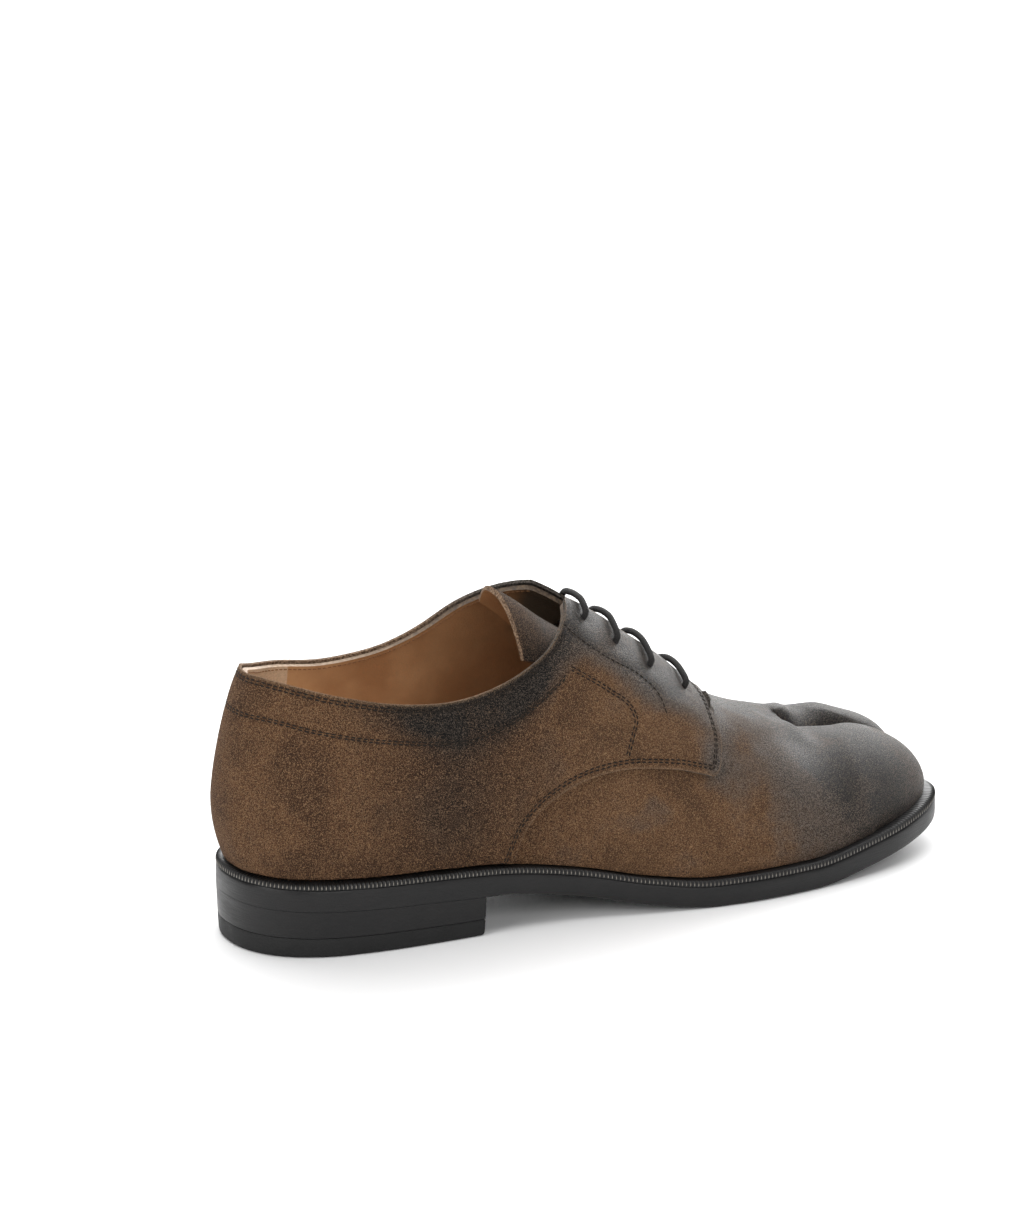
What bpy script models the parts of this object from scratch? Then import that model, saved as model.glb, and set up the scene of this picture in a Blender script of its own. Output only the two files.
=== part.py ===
"""A right tabi lace-up shoe: split-toe upper, quarters, tongue, insole, welt, outsole, heel and lace bars.

Frame: +X to the toe, +Y to the medial (big toe) side, +Z up, floor at z = 0, origin under the middle of the
shoe. Sizes are in millimetres, x counted from the back of the sole, and become metres where a mesh is made.
"""

import math
from collections import namedtuple

import bmesh
import bpy
import numpy as np

MM = 0.001
LATERAL = -1
MEDIAL = 1
SIDES = (LATERAL, MEDIAL)

# Driving sizes
TIP_X = {LATERAL: 274.7, MEDIAL: 280.0}
TIP_Y = {LATERAL: -9.0, MEDIAL: 22.0}
GAP = 0.3
OUTSOLE_THICKNESS = 7.75
OUTSOLE_CHAMFER = 0.6
CHAMFER_RISE = 0.9
CHAMFER_RUN = 10.0
WELT_THICKNESS = 2.0
WELT_UNDER_WALL = 3.0
RIB_PITCH = 2.6
RIB_DEPTH = 0.35
INSOLE_THICKNESS = 3.0
WALL = 1.8
LAYER_GAP = 0.5
QUARTER_THICKNESS = 1.2
QUARTER_RISE = 1.0
TONGUE_THICKNESS = 1.8
TONGUE_GAP = 1.6
HEEL_BREAST_X = 83.0
HEEL_TAPER = 0.6
TOP_LIFT_BACK = 7.2
TOP_LIFT_BREAST = 5.8
LACE_RADIUS = 1.2
LACE_ARCH = 1.0
LACE_GAP = 0.7
LACE_SKEW = 6.0

# Plan rounding: where the back and the toes turn, and how square the turn is
HEEL_ROUND = 32.0
HEEL_POWER = 2.15
TOE_ROUND = {LATERAL: 34.0, MEDIAL: 45.0}
TOE_POWER = {LATERAL: 2.6, MEDIAL: 2.2}
INNER_ROUND = 13.0
INNER_POWER = 2.0

# The split between the toes
CLEFT_ROOT_X = 216.0
CLEFT_GAP = 2.0
CLEFT_GAP_RUN = 12.0
CLEFT_FLOOR_X = 248.0
CLEFT_FLOOR_POWER = 1.2
SOLE_NOTCH_X = 257.0
WELT_NOTCH_X = 253.0
INSOLE_NOTCH_X = 240.0
POLE_X = 236.0
POLE_Y = {LATERAL: -6.0, MEDIAL: 18.0}
POLE_Z = {LATERAL: 45.3, MEDIAL: 44.4}
DROP_START_X = {LATERAL: 216.0, MEDIAL: 224.0}
DROP_END_X = {LATERAL: 227.0, MEDIAL: 236.0}
FRONT_FULLNESS = 2.05
CLEFT_FULLNESS = 2.4

# Where the sections fan out round the back, how much more pointed the back is at the top than below, and how
# high the tuck under the belly reaches
HEEL_FAN_X = 36.0
HEEL_PINCH = 0.15
TUCK_SHARE = 0.28

# Opening of the upper
FACING_TOP_X = 127.0
THROAT_X = 189.0

SoleRow = namedtuple("SoleRow", "x lateral medial underside")
SOLE = (
    SoleRow(0, 31.5, 30.0, 17.5),
    SoleRow(20, 32.5, 31.0, 16.8),
    SoleRow(45, 35.6, 32.0, 15.8),
    SoleRow(70, 36.5, 31.5, 14.9),
    SoleRow(95, 36.2, 29.5, 12.9),
    SoleRow(120, 37.8, 28.5, 8.6),
    SoleRow(145, 42.8, 31.5, 3.0),
    SoleRow(170, 47.2, 39.0, 0.0),
    SoleRow(190, 48.0, 44.0, 0.0),
    SoleRow(208, 46.4, 46.5, 0.0),
    SoleRow(235, 41.0, 46.5, 3.4),
    SoleRow(260, 33.3, 44.0, 7.6),
    SoleRow(280, 27.0, 41.0, 11.3),
)

LastRow = namedtuple("LastRow", "x crest_y crest_z fullness ledge tuck overhang")
LAST = (
    LastRow(0, -1.0, 117.5, 2.2, 4.5, 5.4, 0.0),
    LastRow(36, -1.0, 123.0, 2.4, 4.5, 3.4, 0.0),
    LastRow(80, -0.5, 123.0, 2.4, 4.5, 2.6, 0.0),
    LastRow(100, 0.4, 119.5, 2.4, 3.4, 1.8, 2.5),
    LastRow(115, 1.6, 114.8, 2.35, 3.0, 1.5, 4.0),
    LastRow(127, 2.2, 109.3, 2.3, 3.0, 1.5, 4.0),
    LastRow(140, 2.4, 100.8, 2.2, 3.0, 1.5, 3.0),
    LastRow(152, 2.6, 91.2, 2.15, 3.2, 1.5, 1.5),
    LastRow(164, 2.9, 82.0, 2.1, 3.4, 1.5, 0.5),
    LastRow(178, 3.3, 69.9, 2.0, 3.6, 1.5, 0.0),
    LastRow(194, 4.0, 59.8, 2.0, 3.7, 1.5, 0.0),
    LastRow(205, 4.4, 56.0, 2.0, 3.8, 1.4, 0.0),
    LastRow(216, 4.7, 52.6, 2.0, 3.9, 1.3, 0.0),
    LastRow(226, 5.3, 50.2, 2.0, 3.8, 1.1, 0.0),
    LastRow(236, 6.0, 46.5, 2.0, 3.7, 1.0, 0.0),
    LastRow(260, 8.0, 42.0, 2.0, 4.3, 0.8, 0.0),
    LastRow(280, 9.0, 30.0, 2.0, 4.4, 0.8, 0.0),
)

ToplineRow = namedtuple("ToplineRow", "x lateral medial")
TOPLINE = (
    ToplineRow(12, 95.7, 95.7),
    ToplineRow(21, 94.0, 91.6),
    ToplineRow(36, 90.3, 88.8),
    ToplineRow(48, 87.3, 87.3),
    ToplineRow(60, 85.4, 87.8),
    ToplineRow(72, 84.6, 89.8),
    ToplineRow(86, 86.0, 95.5),
    ToplineRow(101, 90.5, 104.0),
    ToplineRow(115, 97.8, 108.6),
    ToplineRow(127, 108.5, 110.0),
)

ThroatRow = namedtuple("ThroatRow", "x lateral medial")
THROAT = (
    ThroatRow(127, 9.9, 7.5),
    ThroatRow(150, 8.6, 6.8),
    ThroatRow(170, 7.4, 6.2),
    ThroatRow(186, 5.2, 4.8),
    ThroatRow(189, 0.0, 0.0),
)

QuarterRow = namedtuple("QuarterRow", "x low_edge")
QUARTER = (
    QuarterRow(92.5, 20.0),
    QuarterRow(95, 26.5),
    QuarterRow(98, 34.2),
    QuarterRow(103, 40.6),
    QuarterRow(112, 46.9),
    QuarterRow(125, 51.6),
    QuarterRow(137, 52.8),
    QuarterRow(150, 51.2),
    QuarterRow(158, 49.6),
    QuarterRow(166, 47.0),
    QuarterRow(171, 45.8),
    QuarterRow(173, 47.4),
    QuarterRow(175, 50.9),
    QuarterRow(176.6, 53.8),
    QuarterRow(177.7, 56.6),
    QuarterRow(178.6, 61.0),
    QuarterRow(180, 66.0),
)

TongueRow = namedtuple("TongueRow", "x half_width to_lateral sag")
TONGUE = (
    TongueRow(105, 20.5, 5.5, 1.6),
    TongueRow(113, 20.5, 5.2, 4.2),
    TongueRow(124, 20.5, 4.6, 8.0),
    TongueRow(140, 19.6, 3.4, 8.5),
    TongueRow(160, 17.5, 1.6, 5.5),
    TongueRow(180, 14.0, 0.0, 1.0),
    TongueRow(188, 12.4, 0.0, -1.2),
    TongueRow(195, 11.0, 0.0, -1.2),
)

EyeletRow = namedtuple("EyeletRow", "x from_middle")
EYELETS = (
    EyeletRow(131.0, 16.3),
    EyeletRow(141.8, 19.4),
    EyeletRow(154.8, 20.6),
    EyeletRow(168.8, 20.3),
)

# How finely the solids are faceted
HEEL_STEPS = 8
TOE_STEPS = 7
SKIN_ROWS = 10
TONGUE_ROWS = 10
HEEL_SIDE_STEPS = 4
LACE_STEPS = 8
DENSE = 240
UPPER_SIDE_X = (47, 58, 70, 82, 92, 101, 109, 116, 122, 127, 134, 142, 150, 158, 166, 173, 178, 182, 186, 189,
                196, 206, 216, 222, 229, 236)
CLEFT_X = (242.0, 236.0, 229.0, 222.0, 216.0)
QUARTER_SIDE_X = (47, 58, 70, 82, 92.5, 95, 98, 103, 109, 116, 122, 127, 134, 142, 150, 158, 166, 171, 173,
                  175, 176.6, 177.7, 178.6, 180)
TONGUE_X = (105.5, 108, 112, 119, 127, 134, 142, 150, 158, 166, 174, 181, 187, 194)
SOLE_SIDE_STEPS = 22

COLLECTION = "tabi_lace_up_shoe"


def smooth(x, knots, values):
    """Cubic through the knots, level where two neighbours are equal and beyond the ends."""
    knots = np.asarray(knots, float)
    values = np.asarray(values, float)
    steps = np.diff(knots)
    slopes = np.diff(values) / steps
    tangents = np.concatenate([slopes[:1], np.zeros(len(slopes) - 1), slopes[-1:]])
    between = (slopes[:-1] * steps[1:] + slopes[1:] * steps[:-1]) / (steps[:-1] + steps[1:])
    tangents[1:-1] = np.where(slopes[:-1] * slopes[1:] == 0, 0, between)
    x = np.clip(x, knots[0], knots[-1])
    i = np.clip(np.searchsorted(knots, x, side="right") - 1, 0, len(steps) - 1)
    t = (x - knots[i]) / steps[i]
    rise = t * t * (3 - 2 * t)
    leave = t * (1 - t) ** 2 * tangents[i] * steps[i]
    arrive = t * t * (t - 1) * tangents[i + 1] * steps[i]
    return values[i] + (values[i + 1] - values[i]) * rise + leave + arrive


def look_up(table, column, x):
    return smooth(x, [row.x for row in table], [getattr(row, column) for row in table])


def side_name(side):
    return "lateral" if side == LATERAL else "medial"


def ease(share):
    share = np.clip(share, 0, 1)
    return share * share * (3 - 2 * share)


def rounded(share, power):
    """Rises from 0 to 1 with the round shoulder of a superellipse."""
    share = np.clip(share, 0, 1)
    return (1 - (1 - share) ** power) ** (1 / power)


def outsole_under(x):
    return look_up(SOLE, "underside", x)


def outsole_top(x):
    return outsole_under(x) + OUTSOLE_THICKNESS


def welt_top(x):
    return outsole_top(x) + GAP + WELT_THICKNESS


def upper_low(x):
    return welt_top(x) + GAP


def outer_edge(side, x, inset):
    """y of the sole's outer edge at x, drawn in by inset."""
    half = look_up(SOLE, side_name(side), x) - inset
    heel = rounded((x - inset) / HEEL_ROUND, HEEL_POWER)
    toe = rounded((TIP_X[side] - inset - x) / TOE_ROUND[side], TOE_POWER[side])
    return TIP_Y[side] + (side * half * heel - TIP_Y[side]) * toe


def cleft_y(x):
    return look_up(LAST, "crest_y", x)


def inner_edge(side, x, inset, half_gap):
    """y of the edge that faces the other toe."""
    toe = rounded((TIP_X[side] - inset - x) / INNER_ROUND, INNER_POWER)
    return TIP_Y[side] + (cleft_y(x) + side * half_gap - TIP_Y[side]) * toe


def crest_y(side, x):
    """The ridge of the upper, which forks to the two toes."""
    fork = ease((x - CLEFT_ROOT_X) / (POLE_X - CLEFT_ROOT_X))
    main = look_up(LAST, "crest_y", min(x, CLEFT_ROOT_X))
    return main + (POLE_Y[side] - main) * fork


def crest_z(side, x):
    """Height of the ridge, which drops to the top of the lateral toe sooner than to the medial one."""
    drop = ease((x - DROP_START_X[side]) / (DROP_END_X[side] - DROP_START_X[side]))
    return look_up(LAST, "crest_z", x) * (1 - drop) + POLE_Z[side] * drop


def cleft_floor(x):
    root_z = look_up(LAST, "crest_z", CLEFT_ROOT_X)
    climb = np.clip((CLEFT_FLOOR_X - x) / (CLEFT_FLOOR_X - CLEFT_ROOT_X), 0, 1) ** CLEFT_FLOOR_POWER
    return upper_low(x) + (root_z - upper_low(x)) * climb


Station = namedtuple("Station", "side belly crest low top fullness tuck pinch")


def station(side, belly, crest, low, top, fullness, tuck, pinch=0.0):
    return Station(side, np.array(belly), np.array(crest), low, top, fullness, tuck, pinch)


def tuck_under(side, x):
    """How far the lower edge lies under the belly; more over the medial arch."""
    return look_up(LAST, "tuck", x) + (look_up(LAST, "overhang", x) if side == MEDIAL else 0.0)


def belly_inset(side, x):
    return look_up(LAST, "ledge", x) - tuck_under(side, x)


def heel_station(side, angle):
    """A section that fans out from the middle of the heel; angle 0 is straight back."""
    inset = belly_inset(side, 0)
    x = inset + (HEEL_FAN_X - inset) * (1 - math.cos(angle))
    crest = (HEEL_FAN_X, look_up(LAST, "crest_y", 0))
    belly = (x, outer_edge(side, x, belly_inset(side, x)) if angle > 0 else crest[1])
    return station(side, belly, crest, upper_low(x), crest_z(side, x), look_up(LAST, "fullness", x),
                   tuck_under(side, x), HEEL_PINCH * math.sin(2 * angle) ** 2)


def side_station(side, x):
    belly = (x, outer_edge(side, x, belly_inset(side, x)))
    crest = (x, crest_y(side, x))
    return station(side, belly, crest, upper_low(x), crest_z(side, x), look_up(LAST, "fullness", x),
                   tuck_under(side, x))


def toe_station(side, angle):
    """A section that fans out from the top of one toe; a right angle is straight ahead."""
    inset = belly_inset(side, TIP_X[side])
    x = POLE_X + (TIP_X[side] - inset - POLE_X) * math.sin(angle)
    belly = (x, outer_edge(side, x, inset))
    turn = math.sin(angle)
    fullness = look_up(LAST, "fullness", POLE_X) * (1 - turn) + FRONT_FULLNESS * turn
    return station(side, belly, (POLE_X, POLE_Y[side]), upper_low(x), POLE_Z[side], fullness,
                   tuck_under(side, x))


def cleft_station(side, x):
    """A section from the wall inside the split up to the ridge of the toe."""
    inset = belly_inset(side, TIP_X[side])
    half_gap = CLEFT_GAP / 2 * ease((x - CLEFT_ROOT_X) / CLEFT_GAP_RUN)
    belly = (x, inner_edge(side, x, inset, half_gap))
    ridge_x = min(x, POLE_X)
    crest = (ridge_x, crest_y(side, ridge_x))
    turn = max(0.0, x - POLE_X) / (TIP_X[side] - inset - POLE_X)
    fullness = CLEFT_FULLNESS * (1 - turn ** 4) + FRONT_FULLNESS * turn ** 4
    tuck = tuck_under(side, x) * turn ** 4
    return station(side, belly, crest, cleft_floor(x), crest_z(side, ridge_x), fullness, tuck)


def dense_section(place):
    """Many points of one section, lower edge to ridge, as x, y, z and the distance to the ridge."""
    turn = np.linspace(0, math.pi / 2, DENSE)
    out = np.cos(turn).clip(0) ** (2 / place.fullness)
    up = np.sin(turn) ** (2 / place.fullness)
    reach = place.belly - place.crest
    width = float(np.hypot(*reach))
    away = width * out * (1 - place.pinch * up) - place.tuck * (1 - up / TUCK_SHARE).clip(0) ** 2
    flat = place.crest + np.outer(away, reach / max(width, 1e-6))
    return np.column_stack([flat, place.low + (place.top - place.low) * up, away])


def cut_where(points, over):
    """The points up to where over first turns positive, ending on the crossing."""
    beyond = np.flatnonzero(over > 0)
    if len(beyond) == 0:
        return points
    k = max(int(beyond[0]), 1)
    share = over[k - 1] / (over[k - 1] - over[k])
    return np.vstack([points[:k], points[k - 1] + (points[k] - points[k - 1]) * share])


def resampled(points, rows):
    """The section again as rows of equal length."""
    length = np.concatenate([[0], np.cumsum(np.linalg.norm(np.diff(points[:, :3], axis=0), axis=1))])
    wanted = np.linspace(0, length[-1], rows + 1)
    return np.column_stack([np.interp(wanted, length, points[:, k]) for k in range(3)])


def opened(place):
    """A section of the form, ended at the topline or at the edge of the throat."""
    points = dense_section(place)
    side = side_name(place.side)
    above = points[:, 2] - look_up(TOPLINE, side, points[:, 0])
    above = np.where(points[:, 0] > FACING_TOP_X, -1.0, above)
    inside = look_up(THROAT, side, points[:, 0]) - points[:, 3]
    inside = np.where((points[:, 0] < FACING_TOP_X) | (points[:, 0] >= THROAT_X), -1.0, inside)
    return cut_where(points, np.maximum(above, inside))


def started_at(points, height):
    """The part of a section above a height."""
    return cut_where(points[::-1], height - points[::-1, 2])[::-1]


def heel_angles():
    return [math.radians(90) * k / HEEL_STEPS for k in range(HEEL_STEPS + 1)]


def new_object(name, mesh_or_curve, look, parent):
    thing = bpy.data.objects.new(name, mesh_or_curve)
    bpy.data.collections[COLLECTION].objects.link(thing)
    thing.data.materials.append(look)
    thing.parent = parent
    return thing


def mesh_object(name, points, faces, look, parent):
    """An object from points in millimetres, with doubled points welded."""
    shape = bmesh.new()
    verts = [shape.verts.new(np.asarray(p, float) * MM) for p in points]
    for face in faces:
        shape.faces.new([verts[k] for k in face])
    bmesh.ops.remove_doubles(shape, verts=shape.verts[:], dist=1e-6)
    bmesh.ops.dissolve_degenerate(shape, edges=shape.edges[:], dist=1e-6)
    mesh = bpy.data.meshes.new(name)
    shape.to_mesh(mesh)
    shape.free()
    mesh.shade_smooth()
    mesh.set_sharp_from_angle(angle=math.radians(35))
    return new_object(name, mesh, look, parent)


def lofted(sections, side, points, faces):
    """Adds a skin over a row of sections, facing out on the given side."""
    rows = len(sections[0])
    first = len(points)
    for line in sections:
        points.extend(line)
    for i in range(len(sections) - 1):
        for j in range(rows - 1):
            a = first + i * rows + j
            corner = (a, a + rows, a + rows + 1, a + 1)
            faces.append(corner if side == LATERAL else corner[::-1])
    return first


def add_wall(thing, thickness, offset):
    wall = thing.modifiers.new("wall", "SOLIDIFY")
    wall.thickness = thickness * MM
    wall.offset = offset
    wall.use_even_offset = False


def add_lift(thing, distance):
    """Moves a skin off the form, along its normals."""
    lift = thing.modifiers.new("lift", "DISPLACE")
    lift.direction = "NORMAL"
    lift.mid_level = 0
    lift.strength = distance * MM


def upper(look, parent):
    points, faces, floor_edges = [], [], {}
    for side in SIDES:
        places = [heel_station(side, angle) for angle in heel_angles()]
        places += [side_station(side, x) for x in UPPER_SIDE_X]
        outer = [resampled(opened(place), SKIN_ROWS) for place in places]
        ahead = [math.radians(90) * (k + 1) / TOE_STEPS for k in range(TOE_STEPS)]
        outer += [resampled(dense_section(toe_station(side, angle)), SKIN_ROWS) for angle in ahead]
        reach = TIP_X[side] - belly_inset(side, TIP_X[side]) - CLEFT_FLOOR_X
        inner_x = [CLEFT_FLOOR_X + reach * math.sin(angle) for angle in ahead[-2::-1]]
        inner_x += [CLEFT_FLOOR_X, *CLEFT_X]
        inner = [resampled(dense_section(cleft_station(side, x)), SKIN_ROWS) for x in inner_x]
        first = lofted(outer + inner, side, points, faces)
        floor_edges[side] = [first + k * (SKIN_ROWS + 1)
                             for k in range(len(outer) + len(ahead) - 1, len(outer + inner))]
    near, far = floor_edges[LATERAL], floor_edges[MEDIAL]
    for k in range(len(near) - 1):
        faces.append((near[k], far[k], far[k + 1], near[k + 1]))
    thing = mesh_object("upper", points, faces, look, parent)
    add_wall(thing, WALL, -1)
    return thing


def quarters(look, parent):
    """One suede layer round the heel, from the facing on one side to the facing on the other."""
    points, faces = [], []
    for side in SIDES:
        places = [heel_station(side, angle) for angle in heel_angles()]
        places += [side_station(side, x) for x in QUARTER_SIDE_X]
        line = []
        for place in places:
            whole = opened(place)
            low = max(look_up(QUARTER, "low_edge", place.belly[0]), whole[0, 2] + QUARTER_RISE)
            line.append(resampled(started_at(whole, low), SKIN_ROWS))
        lofted(line, side, points, faces)
    thing = mesh_object("quarters", points, faces, look, parent)
    add_lift(thing, LAYER_GAP)
    add_wall(thing, QUARTER_THICKNESS, 1)
    return thing


def form_height(x, y):
    """Height of the form's top over a point near its ridge."""
    side = LATERAL if y < crest_y(LATERAL, x) else MEDIAL
    place = side_station(side, x)
    width = abs(place.belly[1] - place.crest[1])
    share = min(abs(y - place.crest[1]) / width, 1)
    return place.low + (place.top - place.low) * (1 - share ** place.fullness) ** (1 / place.fullness)


def form_normal(x, y):
    step = 0.5
    slope_x = (form_height(x + step, y) - form_height(x - step, y)) / (2 * step)
    slope_y = (form_height(x, y + step) - form_height(x, y - step)) / (2 * step)
    normal = np.array([-slope_x, -slope_y, 1.0])
    return normal / np.linalg.norm(normal)


def tongue(look, parent):
    """A flap under the throat; between its free end and the vamp it hangs lower than the facings."""
    lines = []
    for x in TONGUE_X:
        half = look_up(TONGUE, "half_width", x)
        middle = crest_y(LATERAL, x) - look_up(TONGUE, "to_lateral", x)
        across = middle + half * np.sin(np.linspace(-math.pi / 2, math.pi / 2, TONGUE_ROWS + 1))
        sag = look_up(TONGUE, "sag", x)
        lines.append(np.array([(x, y, form_height(x, y) - sag) for y in across]))
    points, faces = [], []
    lofted(lines, LATERAL, points, faces)
    thing = mesh_object("tongue", points, faces, look, parent)
    add_lift(thing, -(WALL + TONGUE_GAP))
    add_wall(thing, TONGUE_THICKNESS, -1)
    return thing


Loop = namedtuple("Loop", "points outer inner")


def sole_loop(inset, half_gap, notch_x):
    """Plan of a whole sole layer: the path, and the places in it of each side's outer and inner edge."""
    points = [(inset(0), 0.0)]
    outer = {LATERAL: [0], MEDIAL: [0]}
    inner = {}
    for side in SIDES:
        plan = []
        for angle in heel_angles()[1:]:
            edge = inset(HEEL_FAN_X * (1 - math.cos(angle)))
            x = edge + (HEEL_FAN_X - edge) * (1 - math.cos(angle))
            plan.append((x, outer_edge(side, x, edge)))
        for x in np.linspace(HEEL_FAN_X, notch_x, SOLE_SIDE_STEPS + 1)[1:]:
            plan.append((x, outer_edge(side, x, inset(x))))
        edge = inset(TIP_X[side])
        turns = [math.sin(math.radians(90) * k / TOE_STEPS) for k in range(TOE_STEPS + 1)]
        toe_x = [notch_x + (TIP_X[side] - edge - notch_x) * turn for turn in turns]
        plan += [(x, outer_edge(side, x, edge)) for x in toe_x[1:]]
        back = [(x, inner_edge(side, x, edge, half_gap)) for x in toe_x[-2::-1]]
        start = len(points)
        points += plan + back
        outer[side] += list(range(start, start + len(plan)))
        inner[side] = list(range(start + len(plan) + len(back) - 1, start + len(plan) - 2, -1))
    return Loop(np.array(points), outer, inner)


def loop_order(loop):
    """The path once round: lateral side, both sides of the split, medial side."""
    return (loop.outer[LATERAL] + loop.inner[LATERAL][-2::-1] + loop.inner[MEDIAL]
            + loop.outer[MEDIAL][-2:0:-1])


def cap_faces(loop):
    """Strips across a sole layer, facing up."""
    left, right = loop.outer[LATERAL], loop.outer[MEDIAL]
    split = len(left) - len(loop.inner[LATERAL])
    faces = [(left[0], left[1], right[1])]
    faces += [(left[k], left[k + 1], right[k + 1], right[k]) for k in range(1, split - 1)]
    fork = (loop.inner[LATERAL][0], loop.inner[MEDIAL][0])
    faces.append((left[split - 1], left[split], *fork, right[split], right[split - 1]))
    for side in SIDES:
        out, back = loop.outer[side][split:], loop.inner[side]
        for k in range(len(back) - 1):
            at_tip = k == len(back) - 2
            strip = (out[k], out[k + 1], back[k]) if at_tip else (out[k], out[k + 1], back[k + 1], back[k])
            faces.append(strip if side == LATERAL else strip[::-1])
    return faces


def stacked(name, layers, order, caps, look, parent):
    """A solid from matching plan layers, given bottom first as points and heights."""
    points, faces = [], []
    count = len(layers[0][0])
    for plan, height in layers:
        points.extend(np.column_stack([plan, height]))
    for level in range(len(layers) - 1):
        low = level * count
        for k, here in enumerate(order):
            there = order[(k + 1) % len(order)]
            faces.append((low + here, low + there, low + count + there, low + count + here))
    top = (len(layers) - 1) * count
    faces += [tuple(top + k for k in face) for face in caps]
    faces += [face[::-1] for face in caps]
    return mesh_object(name, points, faces, look, parent)


def outsole(look, parent):
    def chamfer(x):
        return OUTSOLE_CHAMFER * ease((x - HEEL_BREAST_X) / CHAMFER_RUN)

    bottom = sole_loop(chamfer, CLEFT_GAP / 2, SOLE_NOTCH_X)
    edge = sole_loop(lambda x: 0.0, CLEFT_GAP / 2, SOLE_NOTCH_X)
    layers = [
        (bottom.points, outsole_under(bottom.points[:, 0])),
        (edge.points, outsole_under(edge.points[:, 0]) + CHAMFER_RISE),
        (edge.points, outsole_top(edge.points[:, 0])),
    ]
    return stacked("outsole", layers, loop_order(edge), cap_faces(edge), look, parent)


def inner_inset(x):
    """How far the welt reaches in from the sole's edge, under the wall of the upper."""
    return look_up(LAST, "ledge", x) + WELT_UNDER_WALL


def insole(look, parent):
    half_gap = CLEFT_GAP / 2 + WELT_UNDER_WALL + GAP
    loop = sole_loop(lambda x: inner_inset(x) + GAP, half_gap, INSOLE_NOTCH_X)
    low = outsole_top(loop.points[:, 0]) + GAP
    layers = [(loop.points, low), (loop.points, low + INSOLE_THICKNESS)]
    return stacked("insole", layers, loop_order(loop), cap_faces(loop), look, parent)


def welt(look, parent):
    """A ribbed ring: its outer edge is the sole's, its inner edge lies under the wall of the upper."""
    edge = sole_loop(lambda x: 0.0, CLEFT_GAP / 2, SOLE_NOTCH_X)
    under = sole_loop(inner_inset, CLEFT_GAP / 2 + WELT_UNDER_WALL, WELT_NOTCH_X)
    order = loop_order(edge)
    in_split = set(edge.inner[LATERAL]) | set(edge.inner[MEDIAL])
    points, faces = [], []

    def add(xy, height):
        points.append((xy[0], xy[1], height))
        return len(points) - 1

    def add_pair(xy):
        low = outsole_top(xy[0]) + GAP
        return add(xy, low), add(xy, low + WELT_THICKNESS)

    inner_pairs = [add_pair(under.points[k]) for k in order]
    outer_pairs = [add_pair(edge.points[k]) for k in order]
    for k, here in enumerate(order):
        after = (k + 1) % len(order)
        start, end = edge.points[here], edge.points[order[after]]
        along = end - start
        length = float(np.hypot(*along))
        inward = np.array([-along[1], along[0]]) / length
        ribs = 0 if here in in_split and order[after] in in_split else max(1, round(length / RIB_PITCH))
        run = [outer_pairs[k]]
        for step in range(1, 2 * ribs):
            depth = RIB_DEPTH if step % 2 else 0.0
            run.append(add_pair(start + along * step / (2 * ribs) + inward * depth))
        run.append(outer_pairs[after])
        for (low_a, top_a), (low_b, top_b) in zip(run, run[1:]):
            faces.append((low_a, low_b, top_b, top_a))
        faces.append((*[top for _, top in run], inner_pairs[after][1], inner_pairs[k][1]))
        faces.append((*[low for low, _ in run[::-1]], inner_pairs[k][0], inner_pairs[after][0]))
        faces.append((inner_pairs[after][0], inner_pairs[k][0], inner_pairs[k][1], inner_pairs[after][1]))
    return mesh_object("welt", points, faces, look, parent)


def heel_loop(inset):
    """Plan of a heel layer, round at the back and straight at the breast."""
    plan = [(inset, 0.0)]
    counts = []
    for side in SIDES:
        xs = [inset + (HEEL_FAN_X - inset) * (1 - math.cos(angle)) for angle in heel_angles()[1:]]
        xs += list(np.linspace(HEEL_FAN_X, HEEL_BREAST_X - inset, HEEL_SIDE_STEPS + 1)[1:])
        counts.append(len(xs))
        plan += [(x, outer_edge(side, x, inset)) for x in xs]
    count = counts[0]
    left = list(range(1, count + 1))
    right = list(range(count + 1, 2 * count + 1))
    caps = [(0, left[0], right[0])]
    caps += [(left[k], left[k + 1], right[k + 1], right[k]) for k in range(count - 1)]
    return np.array(plan), [0, *left, *right[::-1]], caps


def lift_top(x):
    return TOP_LIFT_BACK + (TOP_LIFT_BREAST - TOP_LIFT_BACK) * x / HEEL_BREAST_X


def heel_stack(look, parent):
    top, order, caps = heel_loop(0.0)
    bottom, _, _ = heel_loop(HEEL_TAPER / 2)
    layers = [(bottom, lift_top(bottom[:, 0]) + GAP), (top, outsole_under(top[:, 0]) - GAP)]
    return stacked("heel_stack", layers, order, caps, look, parent)


def heel_top_lift(look, parent):
    top, order, caps = heel_loop(HEEL_TAPER / 2)
    bottom, _, _ = heel_loop(HEEL_TAPER)
    layers = [(bottom, np.zeros(len(bottom))), (top, lift_top(top[:, 0]))]
    return stacked("heel_top_lift", layers, order, caps, look, parent)


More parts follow.
